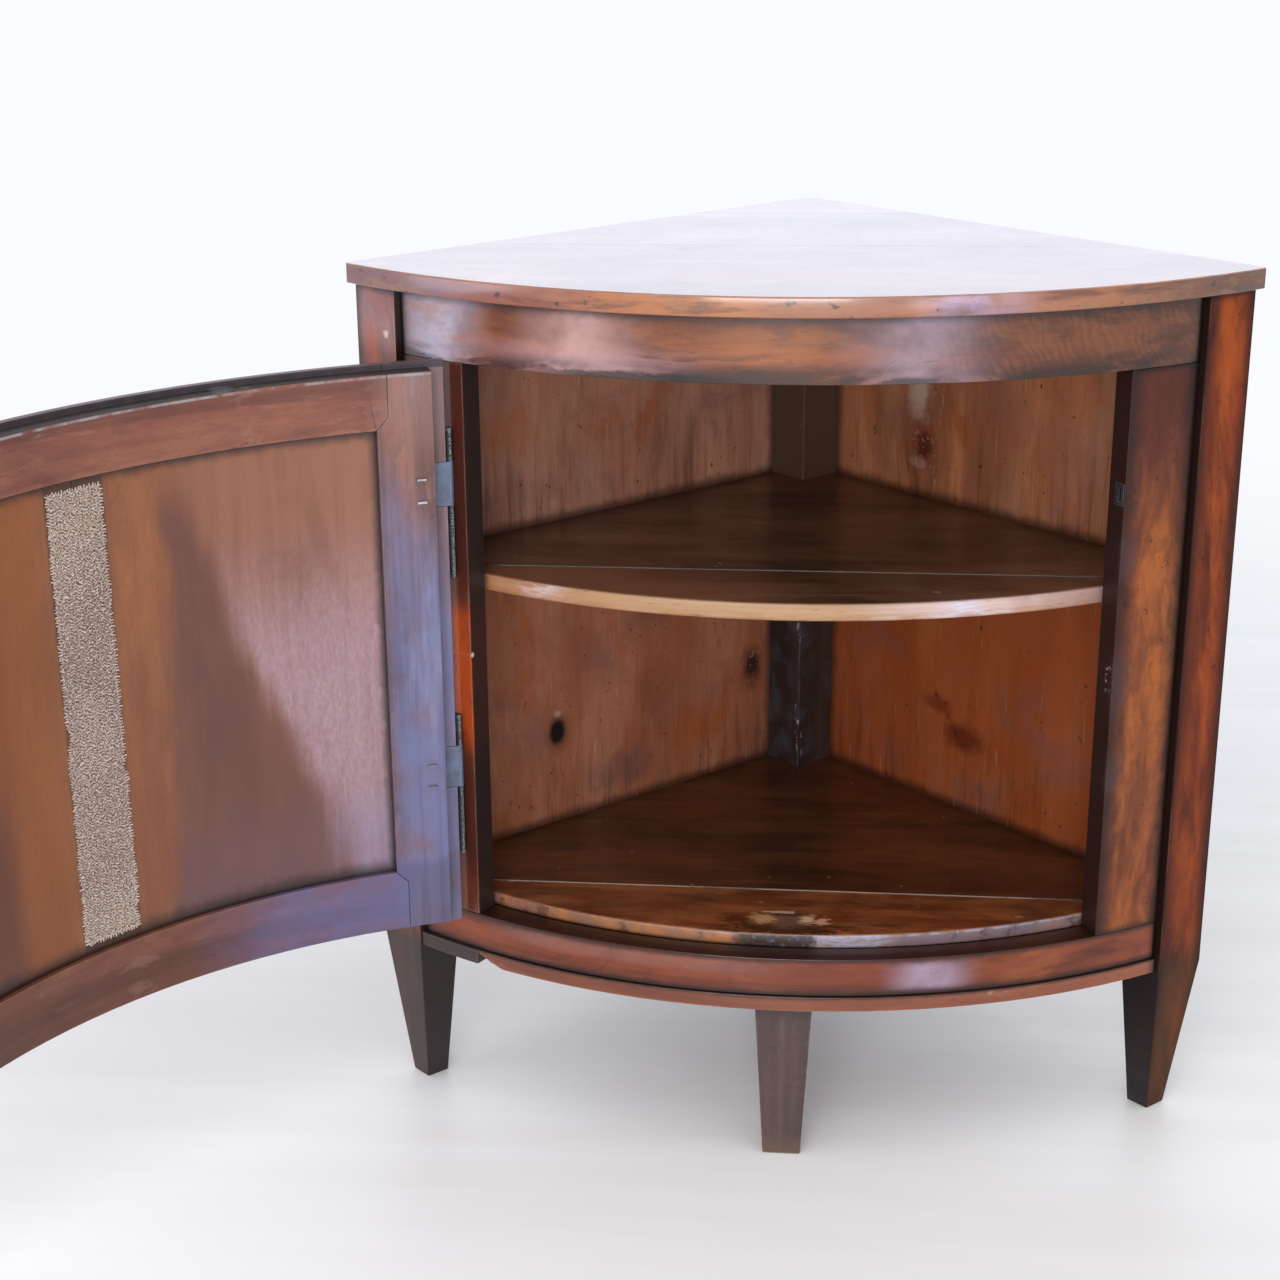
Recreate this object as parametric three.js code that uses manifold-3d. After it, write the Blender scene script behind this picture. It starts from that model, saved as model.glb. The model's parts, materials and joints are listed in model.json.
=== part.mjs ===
// Bow-front corner cupboard in walnut, with one lipped door that stands open.
// Millimetres. +Z is up, the bowed front faces -Y, and +X is to the right of someone facing it.
// The origin is the centre of the rear foot's underside, on the floor.
import * as THREE from 'three';
import { mergeVertices } from 'three/addons/utils/BufferGeometryUtils.js';
import Module from 'manifold-3d';

// Driving sizes of the whole cupboard
const TOP_WIDTH = 900;
const TOP_RADIUS = 680;
const TOP_THICKNESS = 20;
const TOP_OVERHANG = 12;
const TOP_END_OVERHANG = 12.4;
const TOTAL_HEIGHT = 899;
const CORNER_CHAMFER = 14;
const TIP_CHAMFER = 4;
const FRAME_THICKNESS = 27;
const STILE_WIDTH = 78.5;
const FRIEZE_HEIGHT = 64;
const BOTTOM_RAIL_HEIGHT = 41;
const POST_SIDE = 68;
const FRONT_POST_WIDTH = 50;

// Base and feet
const LEG_HEIGHT = 168;
const BASE_STRIP_HEIGHT = 16;
const BASE_STRIP_PROUD = 3;
const BASE_BLOCK_PROUD = 5;
const BASE_STRIP_DEPTH = 40;
const BROKEN_END_LENGTH = 30;
const FOOT_SHOULDER = 5;
const FOOT_TIP_SIDE = 27;
const FRONT_FOOT_OUTER_TAPER = 9;
const CENTRE_FOOT_TOP_WIDTH = 58;
const CENTRE_FOOT_TIP_WIDTH = 39;
const CENTRE_FOOT_TOP_DEPTH = 46;
const CENTRE_FOOT_TIP_DEPTH = 30;
const CENTRE_FOOT_OFFSET = 5;

// Wall boards, shelf and floor
const WALL_BOARD_THICKNESS = 14;
const WALL_BOARD_RECESS = 2;
const SHELF_THICKNESS = 19;
const SHELF_SETBACK = 11;
const FLOOR_ABOVE_RAIL = 11.4;
const FLOOR_THICKNESS = 16;
const FLOOR_SETBACK = 8;
const BEARER_WIDTH = 20;
const BEARER_HEIGHT = 18;
const FRONT_BEARER_HEIGHT = 24;
const shelfHeightShare = 0.552;

// Widths of the front and middle boards, as shares of the depth from the bow to the room corner
const topBoardShares = [0.46, 0.346];
const shelfBoardShares = [0.196, 0.289];
const floorBoardShares = [0.196, 0.332];

// The broken end of the base strip: how much of its height is left at the tip and half way along
const brokenEndShares = { tip: 0.25, middle: 0.667 };

// Door: a body inside the doorway and a lip that laps over the frame
const DOOR_OPEN_DEGREES = 130.5;
const DOOR_BODY_THICKNESS = 18.8;
const DOOR_LIP_THICKNESS = 9;
const DOOR_LIP_REST_GAP = 0.8;
const DOOR_CLEARANCE = 2;
const HINGE_SIDE_CLEARANCE = 4;
const LIP_OVERLAP_HINGE_SIDE = 11;
const LIP_OVERLAP_LOCK_SIDE = 8;
const LIP_OVERLAP_TOP = 4;
const LIP_OVERLAP_BOTTOM = 5;
const DOOR_STILE_WIDTH = 46;
const DOOR_TOP_RAIL_WIDTH = 43;
const DOOR_BOTTOM_RAIL_WIDTH = 52;
const MITRE_WIDTH = 12;
const PANEL_THICKNESS = 11;
const PANEL_RECESS = 6.5;
const PANEL_TONGUE = 8;
const LINEN_WIDTH = 62;
const LINEN_THICKNESS = 1.2;
const LINEN_END_MARGIN = 9;
const panelJointShare = 0.177;

// Hinges
const HINGE_LENGTH = 151;
const LEAF_HEIGHT = 45;
const LEAF_ABOVE_HINGE_BOTTOM = 75;
const LEAF_THICKNESS = 2;
const FRAME_LEAF_REACH = 22;
const DOOR_LEAF_END = 10;
const FRAME_LEAF_END = 7;
const BARREL_RADIUS = 3.5;
const PIN_RADIUS = 1.5;
const PIN_END = 2;
const HINGE_STAND_OFF = 5.5;
const NAIL_SIDE = 2;
const NAIL_HEAD_RADIUS = 3.5;
const NAIL_HEAD_THICKNESS = 1;
const NAIL_CLENCH_LENGTH = 8;
const NAIL_SPACING = 23;
const DOOR_NAIL_INSET = 17;
const FRAME_NAIL_COVER = 7;
const FRAME_NAIL_SPACING = 110;
const hingeHeightShares = { upper: 0.7602, lower: 0.2466 };

// Lock, key and keeper
const LOCK_BACKSET = 28;
const LOCK_LENGTH = 44;
const LOCK_HEIGHT = 48;
const LOCK_DEPTH = 12;
const LOCK_WALL = 1.5;
const BOLT_HEIGHT = 12;
const BOLT_THICKNESS = 5;
const BOLT_TAIL = 12;
const BOLT_TRAVEL = 8;
const BOLT_ABOVE_CENTRE = 3;
const BOLT_BEHIND_PLATE = 4.5;
const KEY_BELOW_CENTRE = 7;
const KEY_SHAFT_RADIUS = 2.5;
const KEY_BIT_RADIUS = 9;
const KEY_BIT_THICKNESS = 2.4;
const KEY_BIT_WIDTH = 5;
const KEY_OUTSIDE_LENGTH = 24;
const KEY_BOW_RADIUS = 10;
const KEY_BOW_TUBE = 2;
const KEYHOLE_CLEARANCE = 0.7;
const ESCUTCHEON_WIDTH = 20;
const ESCUTCHEON_HEIGHT = 36;
const ESCUTCHEON_THICKNESS = 1.2;
const KEEPER_HEIGHT = 22;
const KEEPER_HOLE_CLEARANCE = 0.9;
const KEEPER_WIDTH = 14;
const KEEPER_THICKNESS = 1.5;
const lockHeightShare = 0.778;

// Clearances, overruns and the fineness of curves
const GAP = 0.3;
const BOARD_SEAM = 0.3;
const NAIL_PLAY = 0.6;
const BORE_CLEARANCE = 0.3;
const OVERRUN = 5;
const ARC_STEP_DEGREES = 2.5;
const ROUND_SIDES = 16;
const MERGE_DISTANCE = 0.0001;
const shortestStepShare = 0.125;

// Sizes that follow from the driving sizes
const diagonalShare = Math.SQRT1_2;
const cornerY = POST_SIDE * diagonalShare;
const halfWidth = TOP_WIDTH / 2;
const centreFromCorner = Math.sqrt(TOP_RADIUS ** 2 - halfWidth ** 2) - halfWidth;
const arcCentreY = cornerY + centreFromCorner;
const wallLength = halfWidth / diagonalShare;
const arcStep = THREE.MathUtils.degToRad(ARC_STEP_DEGREES);
const caseRadius = TOP_RADIUS - TOP_OVERHANG;
const frameInnerRadius = caseRadius - FRAME_THICKNESS;
const shelfRadius = frameInnerRadius - SHELF_SETBACK;
const floorRadius = frameInnerRadius - FLOOR_SETBACK;
const postEnd = wallLength - TOP_END_OVERHANG;
const postInnerEdge = postEnd - FRONT_POST_WIDTH - GAP;
const rearPostEdge = POST_SIDE + GAP;
const wallInnerFace = WALL_BOARD_RECESS + WALL_BOARD_THICKNESS;
const postAngle = Math.PI / 4;
const widestAngle = Math.PI / 3;

const topUnderside = TOTAL_HEIGHT - TOP_THICKNESS;
const railBottom = LEG_HEIGHT + BASE_STRIP_HEIGHT;
const doorwayBottom = railBottom + BOTTOM_RAIL_HEIGHT;
const doorwayTop = topUnderside - FRIEZE_HEIGHT;
const floorTop = doorwayBottom + FLOOR_ABOVE_RAIL;
const shelfTop = floorTop + (topUnderside - floorTop) * shelfHeightShare;
const footTaperHeight = LEG_HEIGHT - FOOT_SHOULDER;

const doorwayHalfAngle = angleAtWall(caseRadius, POST_SIDE) - STILE_WIDTH / caseRadius;
const lipBackRadius = caseRadius + DOOR_LIP_REST_GAP;
const doorOuterRadius = lipBackRadius + DOOR_LIP_THICKNESS;
const doorInnerRadius = lipBackRadius - DOOR_BODY_THICKNESS;
const doorBodyAngle = doorwayHalfAngle - DOOR_CLEARANCE / caseRadius;
const doorHingeEdgeAngle = -(doorwayHalfAngle - HINGE_SIDE_CLEARANCE / caseRadius);
const lipHingeEdgeAngle = -(doorwayHalfAngle + LIP_OVERLAP_HINGE_SIDE / caseRadius);
const lipLockEdgeAngle = doorwayHalfAngle + LIP_OVERLAP_LOCK_SIDE / caseRadius;
const doorBottom = doorwayBottom + DOOR_CLEARANCE;
const doorTop = doorwayTop - DOOR_CLEARANCE;
const lipBottom = doorwayBottom - LIP_OVERLAP_BOTTOM;
const lipTop = doorwayTop + LIP_OVERLAP_TOP;
const panelAngle = doorBodyAngle - (DOOR_STILE_WIDTH + MITRE_WIDTH) / doorInnerRadius;
const panelBottom = doorBottom + DOOR_BOTTOM_RAIL_WIDTH + MITRE_WIDTH;
const panelTop = doorTop - DOOR_TOP_RAIL_WIDTH - MITRE_WIDTH;
const panelInnerRadius = doorInnerRadius + PANEL_RECESS;
const panelOuterRadius = panelInnerRadius + PANEL_THICKNESS;
const panelJointAngle = panelAngle * panelJointShare;

const hingeRadius = caseRadius + HINGE_STAND_OFF;
const pinToLip = BARREL_RADIUS + GAP;
const hingeAngle = lipHingeEdgeAngle - pinToLip / caseRadius;
const pinToDoorBody = pinToLip + LIP_OVERLAP_HINGE_SIDE + HINGE_SIDE_CLEARANCE;
const doorNailReach = pinToDoorBody + DOOR_NAIL_INSET;
const doorLeafReach = doorNailReach + DOOR_LEAF_END;
const frameNailReach = FRAME_LEAF_REACH - FRAME_LEAF_END;
const frameNailLength = FRAME_THICKNESS - FRAME_NAIL_COVER;

const hingeBottoms = Object.fromEntries(Object.entries(hingeHeightShares).map(
  ([word, share]) => [word, doorBottom + (doorTop - doorBottom) * share - HINGE_LENGTH / 2],
));

const lockAngle = doorBodyAngle - LOCK_BACKSET / doorInnerRadius;
const lockCentreHeight = doorBottom + (doorTop - doorBottom) * lockHeightShare;

const wasm = await Module();
wasm.setup();

// Finishes
const finishes = {
  walnut: { color: 0x7a3b1c, roughness: 0.35 },
  darkWalnut: { color: 0x55281a, roughness: 0.4 },
  topWalnut: { color: 0x8a4a2c, roughness: 0.22 },
  innerWood: { color: 0x8f5a34, roughness: 0.6 },
  shelfWood: { color: 0x3f2414, roughness: 0.45 },
  doorWood: { color: 0x7d4632, roughness: 0.45 },
  panelWood: { color: 0x855038, roughness: 0.5 },
  linen: { color: 0xa08a74, roughness: 0.95 },
  iron: { color: 0x4a4d55, roughness: 0.5, metalness: 0.9 },
  brass: { color: 0x9c7a3c, roughness: 0.4, metalness: 0.9 },
};

// Solids: a closed geometry becomes a manifold for joining and cutting, and comes back as a mesh
function solidOf(geometry) {
  const bare = geometry.clone();
  bare.deleteAttribute('normal');
  bare.deleteAttribute('uv');
  const merged = mergeVertices(bare, MERGE_DISTANCE);
  const index = merged.index.array;
  return new wasm.Manifold(new wasm.Mesh({
    numProp: 3,
    vertProperties: new Float32Array(merged.attributes.position.array),
    triVerts: new Uint32Array(index),
  }));
}

function meshOf(name, solid, finish) {
  const result = solid.getMesh();
  const geometry = new THREE.BufferGeometry();
  geometry.setAttribute('position', new THREE.BufferAttribute(new Float32Array(result.vertProperties), 3));
  geometry.setIndex(new THREE.BufferAttribute(new Uint32Array(result.triVerts), 1));
  geometry.computeVertexNormals();
  const mesh = new THREE.Mesh(geometry, new THREE.MeshStandardMaterial(finishes[finish]));
  mesh.name = name;
  return mesh;
}

// An upright solid from a plan outline, between two heights
function prism(outline, bottom, top) {
  const shape = new THREE.Shape(outline.map(([x, y]) => new THREE.Vector2(x, y)));
  const geometry = new THREE.ExtrudeGeometry(shape, { depth: top - bottom, bevelEnabled: false });
  geometry.translate(0, 0, bottom);
  return solidOf(geometry);
}

// A box between two corners
function block([x0, y0, z0], [x1, y1, z1]) {
  const geometry = new THREE.BoxGeometry(x1 - x0, y1 - y0, z1 - z0);
  geometry.translate((x0 + x1) / 2, (y0 + y1) / 2, (z0 + z1) / 2);
  return solidOf(geometry);
}

// A solid between a low and a high outline with the same number of corners
function taperedBlock(lowOutline, highOutline, bottom, top) {
  const geometry = new THREE.ExtrudeGeometry(
    new THREE.Shape(highOutline.map(([x, y]) => new THREE.Vector2(x, y))),
    { depth: top - bottom, bevelEnabled: false },
  );
  geometry.translate(0, 0, bottom);
  const place = geometry.attributes.position;
  for (let i = 0; i < place.count; i += 1) {
    if (Math.abs(place.getZ(i) - bottom) < GAP) {
      const corner = highOutline.findIndex(
        ([x, y]) => Math.hypot(x - place.getX(i), y - place.getY(i)) < GAP,
      );
      place.setXY(i, lowOutline[corner][0], lowOutline[corner][1]);
    }
  }
  return solidOf(geometry);
}

// A round bar along local Y or Z
function bar(radius, from, to, axis) {
  const geometry = new THREE.CylinderGeometry(radius, radius, to - from, ROUND_SIDES);
  geometry.translate(0, (from + to) / 2, 0);
  if (axis === 'z') geometry.rotateX(Math.PI / 2);
  return solidOf(geometry);
}

// Places on the plan: along a wall from the room corner, and out from that wall
function wallPoint(side, along, out) {
  return [side * (along - out) * diagonalShare, cornerY - (along + out) * diagonalShare];
}

function wallBlock(side, alongFrom, alongTo, outFrom, outTo) {
  return [
    wallPoint(side, alongFrom, outFrom),
    wallPoint(side, alongTo, outFrom),
    wallPoint(side, alongTo, outTo),
    wallPoint(side, alongFrom, outTo),
  ];
}

// Points of an arc about the bow's centre, on one grid of angles, so that neighbours have matching facets
function arcPoints(radius, from, to) {
  const angles = [from];
  const shortest = arcStep * shortestStepShare;
  for (let k = Math.floor(from / arcStep) + 1; k * arcStep < to; k += 1) {
    if (k * arcStep - from > shortest && to - k * arcStep > shortest) angles.push(k * arcStep);
  }
  angles.push(to);
  return angles.map((a) => [radius * Math.sin(a), arcCentreY - radius * Math.cos(a)]);
}

function bow(inner, outer, from, to, bottom, top) {
  const outline = [...arcPoints(outer, from, to), ...arcPoints(inner, from, to).reverse()];
  return prism(outline, bottom, top);
}

// What lies between the two front posts' room-side faces
function betweenPosts(solid) {
  let result = solid;
  for (const side of [-1, 1]) {
    const slab = wallBlock(side, -wallLength, 2 * wallLength, -wallLength, POST_SIDE + GAP);
    result = result.subtract(prism(slab, -OVERRUN, TOTAL_HEIGHT + OVERRUN));
  }
  return result;
}

// A solid made about the bow's angle a: local +X runs along the bow, local +Y points into the cupboard
function placeOnBow(solid, angle, radius) {
  const turned = solid.rotate([0, 0, THREE.MathUtils.radToDeg(angle)]);
  return turned.translate([radius * Math.sin(angle), arcCentreY - radius * Math.cos(angle), 0]);
}

// Posts with tapered feet
function square(side, centreAlong, centreOut, size) {
  const half = size / 2;
  return wallBlock(side, centreAlong - half, centreAlong + half, centreOut - half, centreOut + half);
}

function frontPost(side) {
  const high = wallBlock(side, postEnd - FRONT_POST_WIDTH, postEnd, 0, POST_SIDE);
  const tipAlong = postEnd - FRONT_FOOT_OUTER_TAPER - FOOT_TIP_SIDE / 2;
  const tipOut = POST_SIDE - FRONT_FOOT_OUTER_TAPER - FOOT_TIP_SIDE / 2;
  const low = square(side, tipAlong, tipOut, FOOT_TIP_SIDE);
  const shaft = prism(high, footTaperHeight, topUnderside - GAP);
  return shaft.add(taperedBlock(low, high, 0, footTaperHeight));
}

function rearPost() {
  const high = square(1, POST_SIDE / 2, POST_SIDE / 2, POST_SIDE);
  const low = square(1, POST_SIDE / 2, POST_SIDE / 2, FOOT_TIP_SIDE);
  const shaft = prism(high, footTaperHeight, topUnderside - GAP);
  return shaft.add(taperedBlock(low, high, 0, footTaperHeight));
}

function centreFoot() {
  const frontY = arcCentreY - caseRadius;
  const outline = (width, depth) => [
    [CENTRE_FOOT_OFFSET - width / 2, frontY],
    [CENTRE_FOOT_OFFSET + width / 2, frontY],
    [CENTRE_FOOT_OFFSET + width / 2, frontY + depth],
    [CENTRE_FOOT_OFFSET - width / 2, frontY + depth],
  ];
  const low = outline(CENTRE_FOOT_TIP_WIDTH, CENTRE_FOOT_TIP_DEPTH);
  const high = outline(CENTRE_FOOT_TOP_WIDTH, CENTRE_FOOT_TOP_DEPTH);
  return taperedBlock(low, high, 0, LEG_HEIGHT - GAP);
}

// Room for the three posts, cut out of every board that meets them
function clearOfPosts(solid) {
  const rear = wallBlock(1, -OVERRUN, rearPostEdge, -OVERRUN, rearPostEdge);
  let result = solid.subtract(prism(rear, 0, TOTAL_HEIGHT));
  for (const side of [-1, 1]) {
    const front = wallBlock(side, postInnerEdge, postEnd + POST_SIDE, -OVERRUN, POST_SIDE + GAP);
    result = result.subtract(prism(front, 0, TOTAL_HEIGHT));
  }
  return result;
}

// The bow angle at which an arc meets a line that runs along a wall at a distance out from it
function angleAtWall(radius, out) {
  const lean = centreFromCorner / diagonalShare;
  const rest = out ** 2 + lean * out + centreFromCorner ** 2 - radius ** 2;
  const along = (Math.sqrt(lean ** 2 - 4 * rest) - lean) / 2;
  return Math.asin((along - out) * diagonalShare / radius);
}

// A quarter-round board layer between two walls, out to a radius
function quarterRound(radius, fromWall, bottom, top) {
  const reach = wallLength + radius;
  const corner = wallPoint(1, fromWall, fromWall);
  const left = wallPoint(-1, reach, fromWall);
  const right = wallPoint(1, reach, fromWall);
  const wedge = prism([corner, left, right], bottom, top);
  const arc = arcPoints(radius, -widestAngle, widestAngle);
  const disc = prism([...arc, [0, arcCentreY + radius]], bottom, top);
  return wedge.intersect(disc);
}

// Cut a layer into a front, a middle and a rear board, which run from left to right
function boardsOf(layer, radius, [frontShare, middleShare], bottom, top) {
  const frontY = arcCentreY - radius;
  const depth = cornerY - frontY;
  const seams = [frontY + depth * frontShare, frontY + depth * (frontShare + middleShare)];
  const edges = [frontY - OVERRUN, ...seams, cornerY + OVERRUN];
  return edges.slice(1).map((edge, i) => {
    const low = edges[i] + BOARD_SEAM / 2;
    const high = edge - BOARD_SEAM / 2;
    return layer.intersect(block([-wallLength, low, bottom - OVERRUN], [wallLength, high, top + OVERRUN]));
  });
}

function topBoards() {
  let layer = quarterRound(TOP_RADIUS, 0, topUnderside, TOTAL_HEIGHT);
  const cornerCut = block(
    [-wallLength, cornerY - CORNER_CHAMFER * diagonalShare, 0],
    [wallLength, cornerY + wallLength, TOTAL_HEIGHT + OVERRUN],
  );
  layer = layer.subtract(cornerCut);
  for (const side of [-1, 1]) {
    const tip = [
      wallPoint(side, wallLength - TIP_CHAMFER, -OVERRUN * diagonalShare),
      wallPoint(side, wallLength - TIP_CHAMFER, 0),
      wallPoint(side, wallLength + OVERRUN, TIP_CHAMFER + OVERRUN),
      wallPoint(side, wallLength + OVERRUN, -OVERRUN),
    ];
    layer = layer.subtract(prism(tip, 0, TOTAL_HEIGHT + OVERRUN));
  }
  return boardsOf(layer, TOP_RADIUS, topBoardShares, topUnderside, TOTAL_HEIGHT);
}

function innerBoards(radius, thickness, height, shares) {
  const layer = clearOfPosts(quarterRound(radius, wallInnerFace + GAP, height - thickness, height));
  return boardsOf(layer, radius, shares, height - thickness, height);
}

function wallBoard(side, alongFrom, alongTo) {
  const outline = wallBlock(side, alongFrom, alongTo, WALL_BOARD_RECESS, wallInnerFace);
  return prism(outline, railBottom, topUnderside - GAP);
}

function sideBearer(side, top) {
  const from = wallInnerFace + GAP;
  const outline = wallBlock(side, rearPostEdge, postInnerEdge, from, from + BEARER_WIDTH);
  return prism(outline, top - BEARER_HEIGHT, top - GAP);
}

// The strip under the bottom rail, broken away at its left end, and the block beside it
function baseStrip() {
  const inner = caseRadius + BASE_STRIP_PROUD - BASE_STRIP_DEPTH;
  const outer = caseRadius + BASE_STRIP_PROUD;
  const start = -doorwayHalfAngle + GAP / caseRadius;
  const strip = betweenPosts(bow(inner, outer, start, postAngle, LEG_HEIGHT, railBottom - GAP));
  const geometry = new THREE.ExtrudeGeometry(
    new THREE.Shape([
      new THREE.Vector2(-OVERRUN, -OVERRUN),
      new THREE.Vector2(BROKEN_END_LENGTH, -OVERRUN),
      new THREE.Vector2(BROKEN_END_LENGTH, 0),
      new THREE.Vector2(BROKEN_END_LENGTH / 2, BASE_STRIP_HEIGHT * (1 - brokenEndShares.middle)),
      new THREE.Vector2(0, BASE_STRIP_HEIGHT * (1 - brokenEndShares.tip)),
      new THREE.Vector2(-OVERRUN, BASE_STRIP_HEIGHT * (1 - brokenEndShares.tip)),
    ]),
    { depth: BASE_STRIP_DEPTH + 2 * OVERRUN, bevelEnabled: false },
  );
  geometry.rotateX(Math.PI / 2);
  geometry.translate(0, BASE_STRIP_DEPTH + OVERRUN, LEG_HEIGHT);
  return strip.subtract(placeOnBow(solidOf(geometry), start, outer));
}

function baseBlock() {
  const inner = caseRadius + BASE_STRIP_PROUD - BASE_STRIP_DEPTH;
  const outer = caseRadius + BASE_BLOCK_PROUD;
  return betweenPosts(bow(inner, outer, -postAngle, -doorwayHalfAngle, LEG_HEIGHT, railBottom - GAP));
}

function caseStile(side) {
  const from = side > 0 ? doorwayHalfAngle : -postAngle;
  const to = side > 0 ? postAngle : -doorwayHalfAngle;
  return betweenPosts(
    bow(frameInnerRadius, caseRadius, from, to, doorwayBottom + GAP, doorwayTop - GAP),
  );
}

function caseRail(bottom, top) {
  return betweenPosts(bow(frameInnerRadius, caseRadius, -postAngle, postAngle, bottom, top));
}

// Runs on behind the stiles to both posts, so that no light comes up past the floor's front corners
function frontBearer() {
  const outer = frameInnerRadius - GAP;
  const top = floorTop - FLOOR_THICKNESS - GAP;
  const strip = bow(outer - BEARER_WIDTH, outer, -postAngle, postAngle, top - FRONT_BEARER_HEIGHT, top);
  return betweenPosts(strip);
}

// Door wood, in the closed position
function doorBlank() {
  const joined = (lipBackRadius + doorOuterRadius) / 2;
  const body = bow(doorInnerRadius, joined, doorHingeEdgeAngle, doorBodyAngle, doorBottom, doorTop);
  const lip = bow(
    lipBackRadius,
    doorOuterRadius,
    lipHingeEdgeAngle,
    lipLockEdgeAngle,
    lipBottom,
    lipTop,
  );
  return body.add(lip);
}

// A cutter through the door's thickness, from corners given as bow angle and height
function throughDoor(corners) {
  const reachIn = doorInnerRadius - OVERRUN;
  const reachOut = doorOuterRadius + OVERRUN;
  const outline = corners.map(([a, z]) => new THREE.Vector2(a * caseRadius, z));
  const geometry = new THREE.ExtrudeGeometry(new THREE.Shape(outline), { depth: OVERRUN, bevelEnabled: false });
  const place = geometry.attributes.position;
  for (let i = 0; i < place.count; i += 1) {
    const angle = place.getX(i) / caseRadius;
    const height = place.getY(i);
    const radius = place.getZ(i) > 0 ? reachOut : reachIn;
    place.setXYZ(i, radius * Math.sin(angle), arcCentreY - radius * Math.cos(angle), height);
  }
  return solidOf(geometry);
}

function stileCutter(side, grow) {
  const end = side * (doorwayHalfAngle + (LIP_OVERLAP_HINGE_SIDE + OVERRUN) / caseRadius);
  const joint = side * (doorBodyAngle - (DOOR_STILE_WIDTH + grow) / doorInnerRadius);
  const inner = side * (panelAngle - grow / doorInnerRadius);
  const low = lipBottom - OVERRUN;
  const high = lipTop + OVERRUN;
  const corners = [
    [end, low],
    [joint, low],
    [joint, panelBottom - MITRE_WIDTH - grow],
    [inner, panelBottom - grow],
    [inner, panelTop + grow],
    [joint, panelTop + MITRE_WIDTH + grow],
    [joint, high],
    [end, high],
  ];
  return throughDoor(corners);
}

function panelShape(grow) {
  const reach = (PANEL_TONGUE + grow) / doorInnerRadius;
  return bow(
    panelInnerRadius - grow,
    panelOuterRadius + grow,
    -panelAngle - reach,
    panelAngle + reach,
    panelBottom - PANEL_TONGUE - grow,
    panelTop + PANEL_TONGUE + grow,
  );
}

function panelDaylight() {
  const reachIn = doorInnerRadius - OVERRUN;
  const reachOut = doorOuterRadius + OVERRUN;
  return bow(reachIn, reachOut, -panelAngle, panelAngle, panelBottom, panelTop);
}

function doorFrame() {
  return doorBlank().subtract(panelDaylight()).subtract(panelShape(GAP));
}

function doorStile(side) {
  return doorFrame().intersect(stileCutter(side, 0));
}

function doorRail(isTop) {
  const middle = (doorwayTop + doorwayBottom) / 2;
  const far = TOTAL_HEIGHT + TOP_RADIUS;
  const other = isTop ? [-far, middle] : [middle, far];
  const away = block([-far, -far, other[0]], [far, far, other[1]]);
  return doorFrame()
    .subtract(stileCutter(-1, GAP))
    .subtract(stileCutter(1, GAP))
    .subtract(away);
}

function panelBoard(isLockSide) {
  const seam = BOARD_SEAM / 2 / panelInnerRadius;
  const reach = PANEL_TONGUE / doorInnerRadius;
  const from = isLockSide ? panelJointAngle + seam : -panelAngle - reach;
  const to = isLockSide ? panelAngle + reach : panelJointAngle - seam;
  const bottom = panelBottom - PANEL_TONGUE;
  return bow(panelInnerRadius, panelOuterRadius, from, to, bottom, panelTop + PANEL_TONGUE);
}

function linenStrip() {
  const outer = panelInnerRadius - GAP;
  const half = LINEN_WIDTH / 2 / panelInnerRadius;
  const from = panelJointAngle - half;
  const to = panelJointAngle + half;
  const bottom = panelBottom + LINEN_END_MARGIN;
  return bow(outer - LINEN_THICKNESS, outer, from, to, bottom, panelTop - LINEN_END_MARGIN);
}

// Hinge pieces, in a frame at the pin: local +X towards the door, local +Y into the cupboard
const leafFront = HINGE_STAND_OFF - DOOR_LIP_REST_GAP - GAP - LEAF_THICKNESS;
const plateFront = HINGE_STAND_OFF - GAP - LEAF_THICKNESS;

function leafBottom(bottom) {
  return bottom + LEAF_ABOVE_HINGE_BOTTOM;
}

function doorLeaf(bottom) {
  const low = leafBottom(bottom) + GAP;
  const high = low + LEAF_HEIGHT - 2 * GAP;
  const plate = block([0, leafFront, low], [doorLeafReach, leafFront + LEAF_THICKNESS, high]);
  const barrel = bar(BARREL_RADIUS, low, high, 'z');
  const bore = bar(PIN_RADIUS + BORE_CLEARANCE, low - OVERRUN, high + OVERRUN, 'z');
  return plate.add(barrel).subtract(bore);
}

function frameLeaf(bottom) {
  const top = bottom + HINGE_LENGTH;
  const gapLow = leafBottom(bottom);
  const gapHigh = gapLow + LEAF_HEIGHT;
  const plate = block([-FRAME_LEAF_REACH, plateFront, bottom], [0, plateFront + LEAF_THICKNESS, top]);
  const barrel = bar(BARREL_RADIUS, bottom, top, 'z');
  const notch = block(
    [-BARREL_RADIUS - BORE_CLEARANCE, -FRAME_LEAF_REACH, gapLow],
    [FRAME_LEAF_REACH, FRAME_LEAF_REACH, gapHigh],
  );
  const bore = bar(PIN_RADIUS + BORE_CLEARANCE, bottom - OVERRUN, top + OVERRUN, 'z');
  return plate.add(barrel).subtract(notch).subtract(bore);
}

function hingePin(bottom) {
  const top = bottom + HINGE_LENGTH;
  const shank = bar(PIN_RADIUS, bottom - PIN_END, top + PIN_END, 'z');
  const head = bar(BARREL_RADIUS, top + GAP, top + GAP + PIN_END, 'z');
  return shank.add(head);
}

// Deep enough to break through the lip's bowed inner face, so that the leaf lies open in it
function leafPocket(bottom) {
  const low = leafBottom(bottom) - GAP;
  const high = low + LEAF_HEIGHT + 2 * GAP;
  const back = surfaceDepth(lipBackRadius, pinToDoorBody) + GAP;
  return block([0, leafFront - GAP, low], [doorLeafReach + GAP, back, high]);
}

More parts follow.
